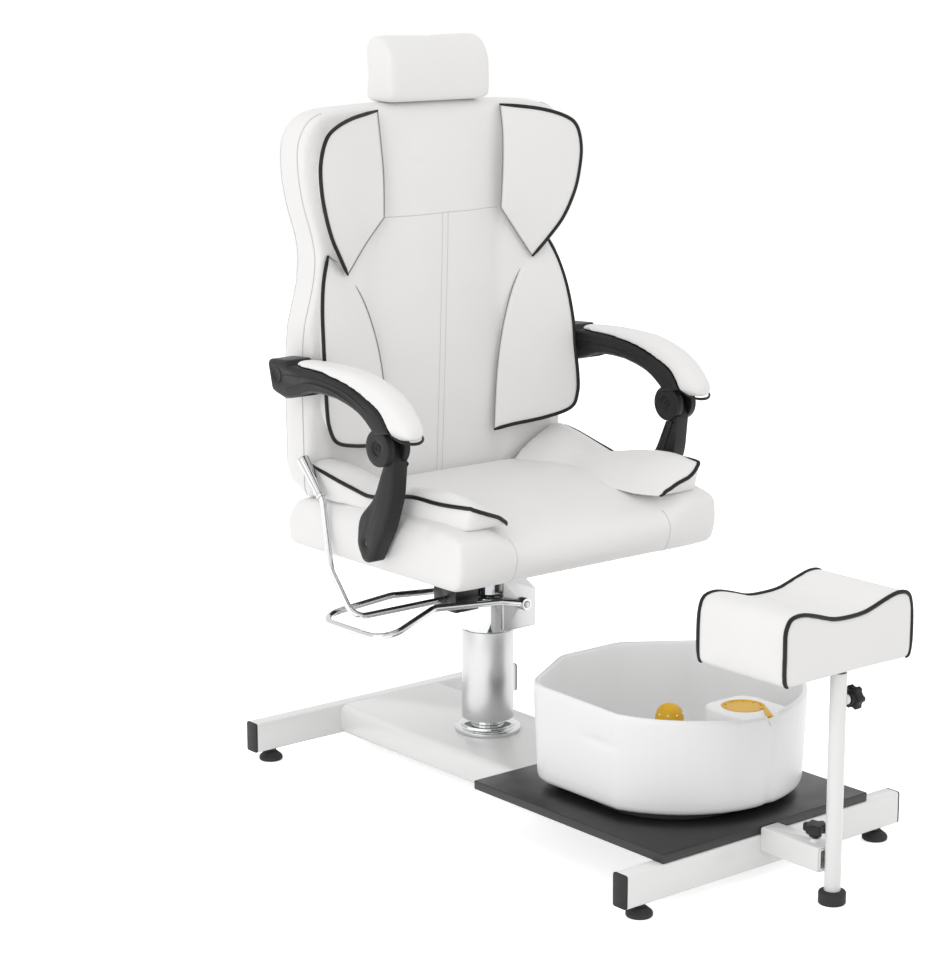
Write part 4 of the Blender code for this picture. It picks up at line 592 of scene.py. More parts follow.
# White upholstery vinyl: a soft satin skin embossed with a fine leather pebble about 1.5 mm across, drawn a
# little coarser than life so that it shows, with slow changes of gloss where hands and legs have rubbed it.
vinyl = surface("white upholstery vinyl", "EBEAE9", 0.42, tones=("E9E8E7", "EEEDEC", 0.15),
                gloss=(0.38, 0.48, 0.08), Specular_IOR_Level=0.45)
place = add(vinyl, "TexCoord", {}).outputs["Object"]
pebble = add(vinyl, "TexVoronoi", {"Vector": place, "Scale": 1 / 0.0018}, feature="SMOOTH_F1")
emboss = add(vinyl, "Bump", {"Height": pebble.outputs["Distance"], "Distance": 0.00012, "Strength": 1.0})
vinyl_shader = vinyl.node_tree.nodes["Principled BSDF"]
vinyl.node_tree.links.new(emboss.outputs["Normal"], vinyl_shader.inputs["Normal"])
# Thread: white polyester, grey only because it lies in the shade of its seam.
thread = surface("white polyester thread", "CFCFCE", 0.7, tones=("C4C4C3", "D6D6D5", 0.002))
seat_half = 0.284
seat_centre = 0.226
seat_reach = 0.238
# Height of the middle panel and of the corner blocks at places from front to rear.
seat_middle = side_line([(-0.012, 0.458), (-0.007, 0.474), (0.008, 0.487), (0.040, 0.498), (0.077, 0.507),
                         (0.150, 0.520), (0.237, 0.529), (0.320, 0.530), (0.378, 0.528), (0.394, 0.519),
                         (0.405, 0.501), (0.440, 0.490), (0.464, 0.474)])
seat_block = side_line([(-0.013, 0.491), (-0.010, 0.503), (0.004, 0.512), (0.040, 0.521), (0.077, 0.525),
                        (0.150, 0.526), (0.237, 0.523), (0.320, 0.517), (0.372, 0.512), (0.392, 0.511),
                        (0.405, 0.510), (0.440, 0.503), (0.464, 0.474)])


def seat_top(u, v):
    """Top of the seat: a crowned middle panel rolled over the front, and squarer corner blocks beside it."""
    x = (u - 0.5) * 2 * seat_half
    place = on(seat_middle, v).lerp(on(seat_block, v), soft_step((abs(x) - 0.152) / 0.070))
    round_off = max(0.0, abs(x) / seat_half - 0.6) / 0.4
    y = place.x + 0.007 * round_off ** 3 * max(0.0, 1 - 4 * v)
    return Vector((x, y, place.y - 0.004 * round_off ** 4))


def seat_edge(grow, z):
    """Move of a point of the seat's rim out to the side wall at a height."""
    def move(place):
        y = seat_centre + (place.y - seat_centre) * (1 + grow / seat_reach)
        height = z(place)
        if place.y < 0.05:
            y += 0.006 * soft_step((0.470 - height) / 0.05) * (1 - place.y / 0.05)
        return Vector((place.x * (1 + grow / seat_half), y, height))
    return move


seat_case = wrap(panel(40, 40, seat_top), seat_edge(0.002, lambda place: place.z - 0.008),
                 seat_edge(0.0005, lambda place: 0.470), seat_edge(0, lambda place: 0.445),
                 seat_edge(-0.001, lambda place: 0.4265), seat_edge(-0.005, lambda place: 0.4205),
                 seat_edge(-0.012, lambda place: 0.4175))
front_seams = []
for x in (-0.170, 0.170):
    front_seams.append(through([(x, y, z) for y, z in (
        (-0.006, 0.422), (-0.010, 0.440), (-0.012, 0.470), (0.002, 0.492))]))
seat_shape = stuffed(seat_case, seam_tree(*front_seams),
                     lambda place: place.z < 0.424 or place.y > 0.40, cap=0.006)
stitching = [laid(route, seat_shape, (0, 1, 0), 0.0006) for route in front_seams]
upholstered("seat_cushion_cover", seat_shape, "seat", "seat_cushion")
for number, route in enumerate(stitching):
    finished(f"seat_front_seam_{number}", tube(route, 0.0011, sides=2), thread, "seat", "white_leather")
# Black-stained plywood: matt, its long open grain just showing as a darker streak.
open_grain = (0.006, 4.0, (1, 0.06, 1))
stained_board = surface("black-stained birch plywood", "2A2826", 0.62,
                        tones=("242220", "35322F", *open_grain), grain=(0.0002, *open_grain))
shape = copy_of("seat_pan")
bmesh.ops.scale(shape, vec=(0.90, 0.86, 1), space=Matrix.Translation((0, -0.236, 0)), verts=shape.verts)
ease(shape, 0.0015)
finished("seat_board", shape, stained_board, "seat", "plywood", "seat_pan")

# Thigh bolsters: two foam wedges on the seat's sides, each with a pinched waist, sewn to the seat along its
# inner edge and finished with a black welt along its crest and down its front edge.


def sewn_on(route, shape, lift=0.0006):
    """Route drawn onto the nearest skin of a shape, a little proud of it."""
    tree = BVHTree.FromBMesh(shape)
    placed = []
    for place in route:
        nearest, normal = tree.find_nearest(place)[:2]
        placed.append(nearest + normal * lift)
    evened = [(a + b * 2 + c) / 4 for a, b, c in zip(placed, placed[1:], placed[2:])]
    return [placed[0]] + evened + [placed[-1]]


def welted(name, route, body, radius=0.0034):
    """Black welt: a cord in a bias strip along a seam, tapering into it at both ends."""
    def taper(share):
        return 0.55 + 0.45 * soft_step(min(share, 1 - share) * len(route) / 3)
    return finished(name, tube(route, radius, sides=3, ends=taper), welt, body, "black_plastic", smooth=180)


def on_side(way, *points):
    """Smooth line through points given for the left side, mirrored for the right."""
    return through([(way * x, y, z) for x, y, z in points])


# Black welt vinyl: the cord under it shows as a soft highlight along its length.
welt = surface("black welt vinyl", "0F0F10", 0.44, gloss=(0.38, 0.52, 0.01), grain=(0.00012, 0.0016),
               Specular_IOR_Level=0.35)
for side, way, proud in (("left", 1, 0.010), ("right", -1, 0.0)):
    inner_line = on_side(
        way, (0.150, 0.384, 0.524), (0.172, 0.320, 0.528), (0.186, 0.270, 0.527), (0.170, 0.222, 0.523),
        (0.152, 0.180, 0.519), (0.146, 0.120, 0.516), (0.148, 0.060, 0.511), (0.165, 0.008, 0.512))
    top_line = on_side(
        way, (0.252, 0.390, 0.580), (0.252, 0.330, 0.573), (0.249, 0.280, 0.560), (0.243, 0.240, 0.551),
        (0.243, 0.190, 0.559), (0.247, 0.140, 0.568), (0.247, 0.070, 0.573), (0.240, 0.018, 0.568))
    crest_line = on_side(
        way, (0.289, 0.394, 0.571), (0.286, 0.330, 0.557), (0.282, 0.270, 0.545), (0.279, 0.235, 0.540),
        (0.275, 0.180, 0.549), (0.271, 0.130, 0.556), (0.265, 0.070, 0.553 + proud),
        (0.256, 0.006, 0.556 + proud))
    front_edge = on_side(
        way, (0.256, 0.006, 0.556 + proud), (0.248, 0.001, 0.553 + proud), (0.226, -0.001, 0.545),
        (0.196, 0.002, 0.534), (0.178, 0.005, 0.523), (0.165, 0.008, 0.512))

    def bolster_top(u, v):
        """Top of a bolster: full above its welt, hollowed to the inner seam, ending on its front edge."""
        low = on(inner_line, v)
        full = on(top_line, v)
        rise = low.lerp(full, 0.5) + Vector((0, 0, 0.006))
        place = on(through([low, rise, full, on(crest_line, v)], 6), u)
        return place.lerp(on(front_edge, 1 - u), soft_step((v - 0.88) / 0.12))

    def bolster_foot(place):
        """Move of a point of a bolster's rim down into the seat, drawn back under the front edge."""
        return Vector((place.x, place.y + 0.012 * soft_step((0.05 - place.y) / 0.05), 0.515))

    bolster_case = wrap(panel(18, 34, bolster_top), bolster_foot)
    bolster_seams = seam_tree(crest_line, front_edge, inner_line)
    bolster = stuffed(bolster_case, bolster_seams, lambda place: place.z < 0.518,
                      cap=0.007, reach=0.006, voxel=0.005)
    welt_route = sewn_on(crest_line[::2] + front_edge[1::2], bolster, 0.0012)
    upholstered(f"thigh_bolster_{side}_cover", bolster, "seat", f"thigh_bolster_{side}")
    welted(f"thigh_bolster_{side}_welt", welt_route, "seat")

# Back cushion: a broad padded board in white vinyl, boxed round its side, with a plain head panel above one
# cross seam and a long panel below it that is stitched down its middle.
back_outline = through([(half, 0, z) for z, half in (
    (0.508, 0.276), (0.522, 0.281), (0.600, 0.282), (0.680, 0.283), (0.750, 0.282), (0.800, 0.278),
    (0.840, 0.267), (0.880, 0.257), (0.920, 0.254), (0.960, 0.262), (1.000, 0.275), (1.050, 0.285),
    (1.090, 0.287), (1.115, 0.282), (1.138, 0.268), (1.152, 0.245), (1.158, 0.210))])
back_crown = through([(y, 0, z) for z, y in (
    (0.508, 0.402), (0.600, 0.398), (0.684, 0.394), (0.826, 0.388), (0.930, 0.384), (0.980, 0.383),
    (1.050, 0.382), (1.100, 0.388), (1.135, 0.396), (1.158, 0.406))])
back_middle = 0.845
back_bottom = 0.508
back_reach = 0.31
back_half = 0.28
slant_start = 0.420
slant_rate = 0.84


def back_front(u, v):
    """Front of the back: crowned forward between the side pads, flat under them."""
    edge = on(back_outline, v)
    across = (u - 0.5) * 2
    x = edge.x * across
    crown = min(back_crown, key=lambda place: abs(place.z - edge.z)).x
    y = crown + (0.405 - crown) * soft_step((abs(x) - 0.045) / 0.095)
    y -= 0.009 * soft_step((abs(x) - 0.215) / 0.050)
    y -= 0.010 * soft_step((abs(x) - 0.240) / 0.025) * math.exp(-((edge.z - 0.715) / 0.060) ** 2)
    lift = 0.005 * max(0.0, v - 0.9) * 10 * (1 - across ** 2)
    return Vector((x, y, edge.z + lift))


def back_edge(grow, y):
    """Move of a point of the back's rim along its side; its lower edge slants up, clear of the seat."""
    def move(place):
        lowest = back_bottom + slant_rate * max(0.0, y - slant_start)
        z = back_middle + (place.z - back_middle) * (1 + grow / back_reach)
        return Vector((place.x * (1 + grow / back_half), y, max(lowest, z)))
    return move


back_case = wrap(panel(40, 56, back_front), back_edge(0.004, 0.413), back_edge(0.002, 0.440),
                 back_edge(0.0005, 0.460), back_edge(-0.010, 0.470), back_edge(-0.030, 0.4725))
cross_seam = through([(-0.135, 0.402, 0.976), (-0.09, 0.394, 0.977), (-0.045, 0.3855, 0.978),
                      (0, 0.383, 0.979), (0.045, 0.3855, 0.979), (0.09, 0.394, 0.979), (0.135, 0.402, 0.978)])
middle_seams = []
for x in (-0.006, 0.006):
    middle_seams.append([Vector((x, place.x, place.z)) for place in back_crown if place.z < 0.981])
side_lines = []
for way in (1, -1):
    side_lines.append([Vector((way * (place.x + 0.004), 0.413, place.z)) for place in back_outline])
crevices = [through([(x, 0.407, 0.545), (x, 0.407, 0.800), (x, 0.407, 1.130)]) for x in (-0.137, 0.137)]
back_seams = seam_tree(cross_seam, *middle_seams, *side_lines, *crevices)
back_shape = stuffed(back_case, back_seams, lambda place: place.y > 0.462,
                     cap=0.008, reach=0.007, voxel=0.007)
stitching = [laid(route, back_shape, (0, 1, 0), 0.0005) for route in [cross_seam] + middle_seams]
side_seams = [sewn_on(route[4:-6], back_shape, 0.0002) for route in side_lines]
rear_left = [Vector((place.x, 0.464, place.z)) for place in back_outline[12:]]
rear_right = [Vector((-place.x, place.y, place.z)) for place in rear_left]
side_seams.append(sewn_on(rear_right + rear_left[::-1], back_shape, 0.0003))
upholstered("back_cushion_cover", back_shape, "back", "back_cushion")
for number, route in enumerate(stitching + side_seams):
    finished(f"back_seam_{number}", tube(route, 0.0010, sides=2), thread, "back", "white_leather")

# Back wings and lumbar bolsters: four shaped foam pads sewn on the back's front, each thick at its outer
# edge, where a black welt runs, and flush with the middle panel at its plain inner seam.


def pad_face(top, bottom, inner, outer, crown):
    """Crowned grid between four edges; top and bottom run outwards, inner and outer run down."""
    def place(u, v):
        ruled = on(inner, v).lerp(on(outer, v), u) + on(top, u).lerp(on(bottom, u), v)
        corners = top[0].lerp(top[-1], u).lerp(bottom[0].lerp(bottom[-1], u), v)
        swell = (16 * u * (1 - u) * v * (1 - v)) ** 0.5
        return ruled - corners + Vector((0, -crown * swell, 0))
    return panel(16, 36, place)


def sewn_pad(name, points, sharp, corners, tuck, welt_end, base=0.412, crown=0.004):
    """Pad on the back from the loop of its front edge, tucked in behind; a welt runs from its first point on.

    The loop turns sharply at some points, and the grid of its face has its corners at four of them."""
    loop = []
    for first, last in zip(sharp, sharp[1:] + (len(points),)):
        loop += through([points[number % len(points)] for number in range(first, last + 1)], 6)[:-1]
    centre = sum(loop, Vector()) / len(loop)

    def edge(first, last):
        return [loop[number % len(loop)] for number in range(first * 6, last * 6 + 1)]

    def tucked(share):
        def move(place):
            inward = place.lerp(centre, tuck)
            return place.lerp(Vector((inward.x, base, inward.z)), share)
        return move
    a, b, c, d = corners
    face = pad_face(edge(a, b), edge(c, d)[::-1], edge(d, a + len(points))[::-1], edge(b, c), crown)
    shape = stuffed(wrap(face, tucked(0.10), tucked(0.5), tucked(1)), seam_tree(loop + loop[:1]),
                    lambda place: place.y > base - 0.006, cap=0.007, reach=0.006, voxel=None)
    upholstered(name + "_cover", shape, "back", name)
    welted(name + "_welt", edge(0, welt_end), "back")
    # The inner seam's stitches are painted dark grey for the shade of the crevice they lie in.
    seam = tube(edge(welt_end, len(points)), 0.0010, sides=2)
    finished(name + "_seam", seam, crevice_shade_thread, "back", "white_leather")


# Crevice-shade thread: the pads' inner seams lie in a crevice, and their stitches are painted dark grey for
# its shade, so they read as a thin dark line.
crevice_shade_thread = surface("thread painted with crevice shade", "8E8E8D", 0.7, tones=("828281", "999998", 0.002))
wing_points = [(0.134, 0.398, 1.158), (0.205, 0.374, 1.149), (0.252, 0.359, 1.135), (0.275, 0.353, 1.117),
               (0.286, 0.353, 1.080), (0.284, 0.355, 1.040), (0.275, 0.358, 1.000), (0.256, 0.366, 0.955),
               (0.230, 0.378, 0.918), (0.205, 0.391, 0.886), (0.165, 0.392, 0.936), (0.129, 0.388, 0.978),
               (0.131, 0.386, 1.050), (0.134, 0.390, 1.110)]
lumbar_points = [(0.242, 0.396, 0.921), (0.260, 0.385, 0.880), (0.272, 0.373, 0.830), (0.278, 0.362, 0.770),
                 (0.279, 0.357, 0.720), (0.281, 0.351, 0.670), (0.278, 0.348, 0.637), (0.262, 0.348, 0.611),
                 (0.210, 0.361, 0.597), (0.150, 0.379, 0.589), (0.115, 0.389, 0.582), (0.122, 0.394, 0.640),
                 (0.128, 0.395, 0.700), (0.142, 0.396, 0.770), (0.168, 0.398, 0.840), (0.205, 0.400, 0.893)]
for side, way in (("left", 1), ("right", -1)):
    for name, points, sharp, corners, tuck, welt_end in (
            ("back_wing", wing_points, (0, 9, 11), (0, 3, 9, 11), 0.35, 9),
            ("lumbar_bolster", lumbar_points, (0, 10), (15, 17, 23, 26), 0.25, 10)):
        mirrored = [(way * x, y, z) for x, y, z in points]
        sewn_pad(f"{name}_{side}", mirrored, sharp, corners, tuck, welt_end)

# Headrest: a D-shaped foam pillow in white vinyl, screwed on two chromed posts that slide in bores of
# the back and hold by friction.
pillow_half = 0.1105
pillow_side = through([(0, y, z) for y, z in (
    (0.462, 1.1715), (0.430, 1.1708), (0.400, 1.1720), (0.3925, 1.184), (0.3915, 1.215), (0.395, 1.243),
    (0.407, 1.266), (0.427, 1.279), (0.447, 1.280), (0.461, 1.270), (0.4665, 1.248), (0.467, 1.21),
    (0.4665, 1.184))], 4, closed=True)


def lofted(columns, rows, place):
    """Closed case of loops: u runs round a loop and v from one end to the other."""
    shape = panel(columns, rows, place)
    bmesh.ops.remove_doubles(shape, verts=shape.verts, dist=1e-5)
    return closed_up(shape)


def pillow_skin(u, v):
    """Pillow: the same side view all along, drawn in over the last few millimetres at each end."""
    side_view = pillow_side[round(u * len(pillow_side)) % len(pillow_side)]
    middle_view = Vector((0, 0.430, 1.226))
    reach = abs(v - 0.5) * 2
    shrink = 1.03 - 0.06 * max(0.0, (reach - 0.88) / 0.12) ** 2
    place = middle_view.lerp(side_view, shrink)
    place.x = (v - 0.5) * 2 * pillow_half
    return place


pillow = stuffed(lofted(len(pillow_side), 24, pillow_skin), None, lambda place: place.z < 1.175,
                 cap=0.004, reach=0.006, voxel=0.006)
upholstered("headrest_pillow_cover", pillow, "headrest", "headrest_pillow")
for node in ("headrest_post_left", "headrest_post_right"):
    finished(node + "_rod", eased(node, 0.0006, 50), chrome, "headrest", "chrome", node)

# Armrests: two black nylon mouldings a side. A boot-shaped link turns on the seat's pin, and an arched
# arm hinges on it in a forked knuckle and hangs on the back's stud; the padded top is screwed on.


def along_x(shape, centre, way):
    """Turn an upright shape to point along X, outwards on its side, about a centre."""
    quarter = Matrix.Rotation(way * math.pi / 2, 3, "Y")
    bmesh.ops.rotate(shape, verts=shape.verts, cent=(0, 0, 0), matrix=quarter)
    return moved(shape, centre)


def bordered(shape, width, depth):
    """Raise the broad side faces of a moulding inside a border."""
    for way in (1, -1):
        broad = [face for face in shape.faces if face.normal.x * way > 0.99 and face.calc_area() > 2e-4]
        bmesh.ops.inset_region(shape, faces=broad, thickness=width, depth=depth, use_even_offset=True)


knuckle_y = 0.13495
knuckle_z = 0.644


def arm_route(shares, x):
    """Line on an arm's side, from shares of the span and rise between its knuckle and the back's stud."""
    return through([(x, knuckle_y + along * 0.267, knuckle_z + up * 0.085) for along, up in shares], 6)


def rib_taper(share):
    """Scale of an arm's rib along it: full in the middle, fine at both ends."""
    return 1 - abs(2 * share - 1) ** 3 * 0.8


def lip_taper(share):
    """Scale of the lip under an arm pad's front: full in the middle, running out at its ends."""
    return 0.25 + 0.75 * math.sin(math.pi * share) ** 0.7


# Glass-filled nylon: darker and tighter than the other black plastic, with a slight sheen on its curves.
arm_nylon = surface("black glass-filled nylon", "222223", 0.44, tones=("1E1E1F", "272728", 0.05),
                    gloss=(0.36, 0.50, 0.025), grain=(0.0001, 0.0014), Specular_IOR_Level=0.25)
knuckle_disc = [(0, 0), (0.0302, 0), (0.0306, 0.0008), (0.0306, 0.0032), (0.0290, 0.0048), (0.0128, 0.0054),
                (0.0118, 0.0030), (0.0070, 0.0028), (0.0064, 0.0044), (0.0040, 0.0048), (0.0036, 0.0030),
                (0, 0.0030)]
# Dished plug over the hole for the back's stud.
block_plug = [(0, 0.0004), (0.0060, 0.0006), (0.0100, 0.0016), (0.0120, 0.0028), (0.0136, 0.0026),
              (0.0142, 0.0012), (0.0142, -0.0040), (0, -0.0040)]
upper_rib = ((1.00, 1.04), (0.86, 1.03), (0.66, 1.06), (0.47, 1.03), (0.29, 0.93), (0.13, 0.74), (0.03, 0.53))
lower_rib = ((0.94, 0.70), (0.84, 0.80), (0.68, 0.95), (0.47, 0.93), (0.29, 0.81), (0.15, 0.64))
lip_points = [(0.0290, 0.094, 0.6745), (0.0240, 0.075, 0.6650), (0.0130, 0.0650, 0.6610), (0, 0.0615, 0.6600)]
# Under side, crown and half width of the padded top at places from its rear tip to its front end.
pad_under = side_line([(0.3700, 0.7482), (0.3600, 0.7480), (0.3170, 0.7480), (0.2720, 0.7455),
                       (0.2070, 0.7355), (0.1520, 0.7165), (0.1230, 0.7025), (0.1070, 0.6810),
                       (0.1000, 0.6700), (0.0850, 0.6640)])
pad_crown = side_line([(0.3725, 0.7500), (0.3580, 0.7570), (0.3150, 0.7595), (0.2600, 0.7600),
                       (0.1920, 0.7560), (0.1320, 0.7400), (0.0960, 0.7200), (0.0690, 0.6960),
                       (0.0570, 0.6780), (0.0600, 0.6640)])
pad_half = side_line([(half, 0) for half in (0.008, 0.019, 0.0255, 0.0275, 0.0280, 0.0280, 0.0280, 0.0275,
                                             0.0255, 0.0180)])
for side, way in (("left", 1), ("right", -1)):
    link = f"arm_link_{side}"
    shape = copy_of(link)
    bordered(shape, 0.0045, 0.0012)
    ease(shape, 0.0012, 35)
    finished(link + "_boot", shape, arm_nylon, link, "black_plastic", link, smooth=30)
    arm = f"armrest_{side}"
    middle_x = way * 0.318
    shape = copy_of(arm)
    # The rear end reaches further back than the solid, and slants in below its upper edge.
    for vertex in shape.verts:
        rearward = soft_step((vertex.co.y - 0.370) / 0.050)
        slant = rearward * max(0.0, 0.742 - vertex.co.z) / 0.043
        vertex.co.y += 0.008 * rearward - 0.007 * slant
        vertex.co.x += (middle_x - vertex.co.x) * 0.12 * slant
    ease(shape, 0.0016, 40)
    moulded = [shape, along_x(turned(block_plug, (0, 0, 0), 48), (way * 0.3428, 0.4065, 0.7285), way)]
    for face_x, outward in ((0.336, way), (0.300, -way)):
        disc = turned(knuckle_disc, (0, 0, 0), 64, 0.0004)
        moulded.append(along_x(disc, (way * face_x, knuckle_y, knuckle_z), outward))
    for shares in (upper_rib, lower_rib):
        for face_x in (0.3438, 0.2922):
            moulded.append(tube(arm_route(shares, way * face_x), 0.0030, ends=rib_taper))
    lip = [(middle_x - x, y, z) for x, y, z in lip_points]
    lip += [(middle_x + x, y, z) for x, y, z in lip_points[-2::-1]]
    moulded.append(tube(through(lip, 6), 0.0026, ends=lip_taper))
    finished(arm + "_arch", joined(*moulded), arm_nylon, arm, "black_plastic", arm, smooth=35)

    def pad_skin(u, v):
        """Arm pad: a domed section over its flat under side, u once round it."""
        under = on(pad_under, v)
        crown = on(pad_crown, v)
        half = on(pad_half, v).x
        if u < 0.72:
            turn = math.pi * u / 0.72
            across = half * math.copysign(abs(math.cos(turn)) ** 0.75, math.cos(turn))
            place = under.lerp(crown, math.sin(turn) ** 0.72)
        else:
            across = half * (2 * (u - 0.72) / 0.28 - 1)
            place = under
        return Vector((middle_x + across, place.x, place.y))

    pad_base = [Vector((middle_x, place.x, place.y)) for place in pad_under]
    pad = stuffed(lofted(40, 60, pad_skin), seam_tree(pad_base), lambda place: False,
                  cap=0.003, reach=0.016, voxel=0.005)
    upholstered(f"arm_pad_{side}_cover", pad, arm, f"arm_pad_{side}")

# Footrest stand: a white tube with its rail welded on, a black rubber foot, a satin stem that slides in
# the tube with a steel plate on top, and two star knobs that clamp rail and stem.
weldment = eased("footrest_post", 0.0005, 50)
finished("footrest_post_weldment", weldment, powder_coat, "footrest_carriage", "white_paint", "footrest_post")
post_place = (0, -0.55695, 0)
foot = turned([(0, 0), (0.0202, 0), (0.0214, 0.0018), (0.0214, 0.0178), (0.0204, 0.0198), (0.0160, 0.0210),
               (0.0107, 0.0211), (0.0107, 0.0412), (0, 0.0412)], post_place, 56, 0.0006)
finished("post_rubber_foot", foot, rubber, "footrest_carriage", "black_plastic", "post_foot")
stem = turned(wall_of(0.0085, 0.0105, 0.1962, 0.3662), post_place, 48, 0.0004)
finished("footrest_stem_tube", stem, satin, "footrest_head", "satin_steel", "footrest_stem")
rest_y = -0.486
shape = copy_of("footrest_plate")
bmesh.ops.scale(shape, vec=(0.85, 0.80, 1), space=Matrix.Translation((0, -rest_y, 0)), verts=shape.verts)
ease(shape, 0.0008)
finished("footrest_mounting_plate", shape, enamel, "footrest_head", "black_steel", "footrest_plate")
for node in ("rail_knob", "post_knob"):
    finished(node + "_star", eased(node, 0.0005, 25), black_moulding, node, "black_plastic", node, smooth=50)

# Footrest pad: a foam saddle for the calves in white vinyl, stapled under its plate, with a black welt round
# the top and sides of its front and rear faces.
saddle_half = [(0.060, 0.3695), (0.118, 0.3680), (0.1325, 0.3688), (0.1385, 0.3760), (0.1395, 0.4100),
               (0.1392, 0.4400), (0.1375, 0.4600), (0.1310, 0.4720), (0.1180, 0.4775), (0.1000, 0.4775),
               (0.0720, 0.4705), (0.0430, 0.4615), (0.0180, 0.4578)]
saddle = [(x, 0, z) for x, z in saddle_half] + [(-x, 0, z) for x, z in reversed(saddle_half)]
saddle = through(saddle, 5, closed=True)


def saddle_skin(u, v):
    """Footrest pad: the saddle all along, drawn in over the last few millimetres at each face."""
    outline = saddle[round(u * len(saddle)) % len(saddle)]
    reach = abs(v - 0.5) * 2
    place = Vector((0, 0, 0.420)).lerp(outline, 1 - 0.035 * max(0.0, (reach - 0.93) / 0.07) ** 2)
    place.y = rest_y + (v - 0.5) * 0.188
    return place


rest_welts = []
for y in (-0.5765, -0.3955):
    rest_welts.append([Vector((place.x, y, place.z)) for place in saddle[8:-12]])
rest_case = lofted(len(saddle), 36, saddle_skin)
rest_shape = stuffed(rest_case, seam_tree(*rest_welts), lambda place: place.z < 0.372,
                     cap=0.006, reach=0.006, voxel=0.006)
rest_routes = [sewn_on(route[::2], rest_shape, 0.0010) for route in rest_welts]
upholstered("footrest_pad_cover", rest_shape, "footrest_head", "footrest_pad")
for end, route in zip(("front", "rear"), rest_routes):
    welted(f"footrest_pad_{end}_welt", route, "footrest_head")

# Foot basin: a white ABS tub with a rolled rim, a ridge for the massage dome and a shelf for the herb
# infuser, standing on a black rubber-footed base that keeps it off the board.

tub_centre = 0.024
tub_points = 320


def even(route, count):
    """Points at even distances round a closed route."""
    lengths = [(second - first).length for first, second in zip(route, route[1:])]
    step = sum(lengths) / count
    points = []
    index = 0
    passed = 0.0
    for number in range(count):
        while passed + lengths[index] < number * step:
            passed += lengths[index]
            index += 1
        points.append(route[index].lerp(route[index + 1], (number * step - passed) / lengths[index]))
    return points


def tub_outline(inset):
    """Plan of the basin: a bowed front, straight sides, and a narrow rear behind slanted corners."""
    bow = 0.216 - inset
    bows = []
    corners = []
    for way in (1, -1):
        turns = [0.1 * step for step in range(13)]
        bows.append([Vector((tub_centre + way * bow * math.sin(turn), -0.179 - bow * math.cos(turn), 0))
                     for turn in turns])
        corners.append(bows[-1][-2:] + [(tub_centre + way * (0.203 - inset), -0.052 - inset / 2, 0),
                                        (tub_centre + way * (0.066 - inset / 2), 0.030 - inset, 0)])
    wall = bent(corners[0] + corners[1][::-1], [0.018, 0.062, 0.050, 0.050, 0.062, 0.018], 16)
    return even(bows[0][:-2] + wall + bows[1][-3::-1], tub_points)


def carved(shape, *tools):
    """Cut tools out of a shape."""
    holders = [object_of("carving", part) for part in (shape, *tools)]
    for tool in holders[1:]:
        cut = holders[0].modifiers.new("cut", "BOOLEAN")
        cut.object = tool
        cut.operation = "DIFFERENCE"
        cut.solver = "EXACT"
    made = mesh_of(holders[0])
    result = bmesh.new()
    result.from_mesh(made)
    for holder in holders:
        bpy.data.objects.remove(holder)
    return result


def rod(radius, low, high, x, y, segments=48):
    """Upright round bar."""
    shape = bmesh.new()
    bmesh.ops.create_cone(shape, cap_ends=True, segments=segments, radius1=radius, radius2=radius,
                          depth=high - low)
    return moved(shape, (x, y, (low + high) / 2))


def raised(outline, low, high, edge):
    """Solid of a plan between two heights, its edges rounded."""
    shape = bmesh.new()
    face = shape.faces.new([shape.verts.new((place[0], place[1], low)) for place in outline])
    made = bmesh.ops.extrude_face_region(shape, geom=[face])["geom"]
    top = [item for item in made if isinstance(item, bmesh.types.BMVert)]
    bmesh.ops.translate(shape, verts=top, vec=(0, 0, high - low))
    bmesh.ops.recalc_face_normals(shape, faces=shape.faces)
    ease(shape, edge, 40, 4)
    return shape


# ABS: a hard white with an even satin gloss off the polished mould, barely rippled.
abs_white = surface("white moulded ABS", "EEEEEE", 0.34, gloss=(0.32, 0.36, 0.12, 0.0),
                    grain=(0.00002, 0.003, 0.0), Specular_IOR_Level=0.4)
# Yellow ABS: the same plastic dyed through, slightly uneven in tone.
abs_yellow = surface("yellow moulded ABS", "DCAA1E", 0.36, tones=("D8A318", "E2B328", 0.02),
                     gloss=(0.30, 0.40, 0.01), Specular_IOR_Level=0.3)
tub_low = 0.1019
notch_x = 0.033
tub_front = -0.25
# Insets and heights: up the outer wall, over the rim and down the inner wall, and out on the floor.
tub_stations = [(0.022, 0.0), (0.012, 0.002), (0.0075, 0.006), (0.0060, 0.012)]
for share in (0.1, 0.2, 0.3, 0.4, 0.5, 0.58, 0.62, 0.66, 0.70, 0.74, 0.80, 0.90, 1.0):
    tub_stations.append((0.0060 - 0.0060 * share, 0.012 + 0.136 * share))
tub_rim = [(0.0002, -0.0055), (0.0012, -0.0022), (0.0030, -0.0004), (0.0050, 0.0), (0.0070, -0.0006),
           (0.0085, -0.0026), (0.0092, -0.006), (0.0098, -0.020), (0.0110, -0.060), (0.0130, -0.105)]
tub_floor = [(0.0150, 0.026), (0.0190, 0.014), (0.0260, 0.007), (0.0360, 0.0042)]
tub_outlines = [tub_outline(inset) for inset, _ in tub_stations + tub_rim + tub_floor]


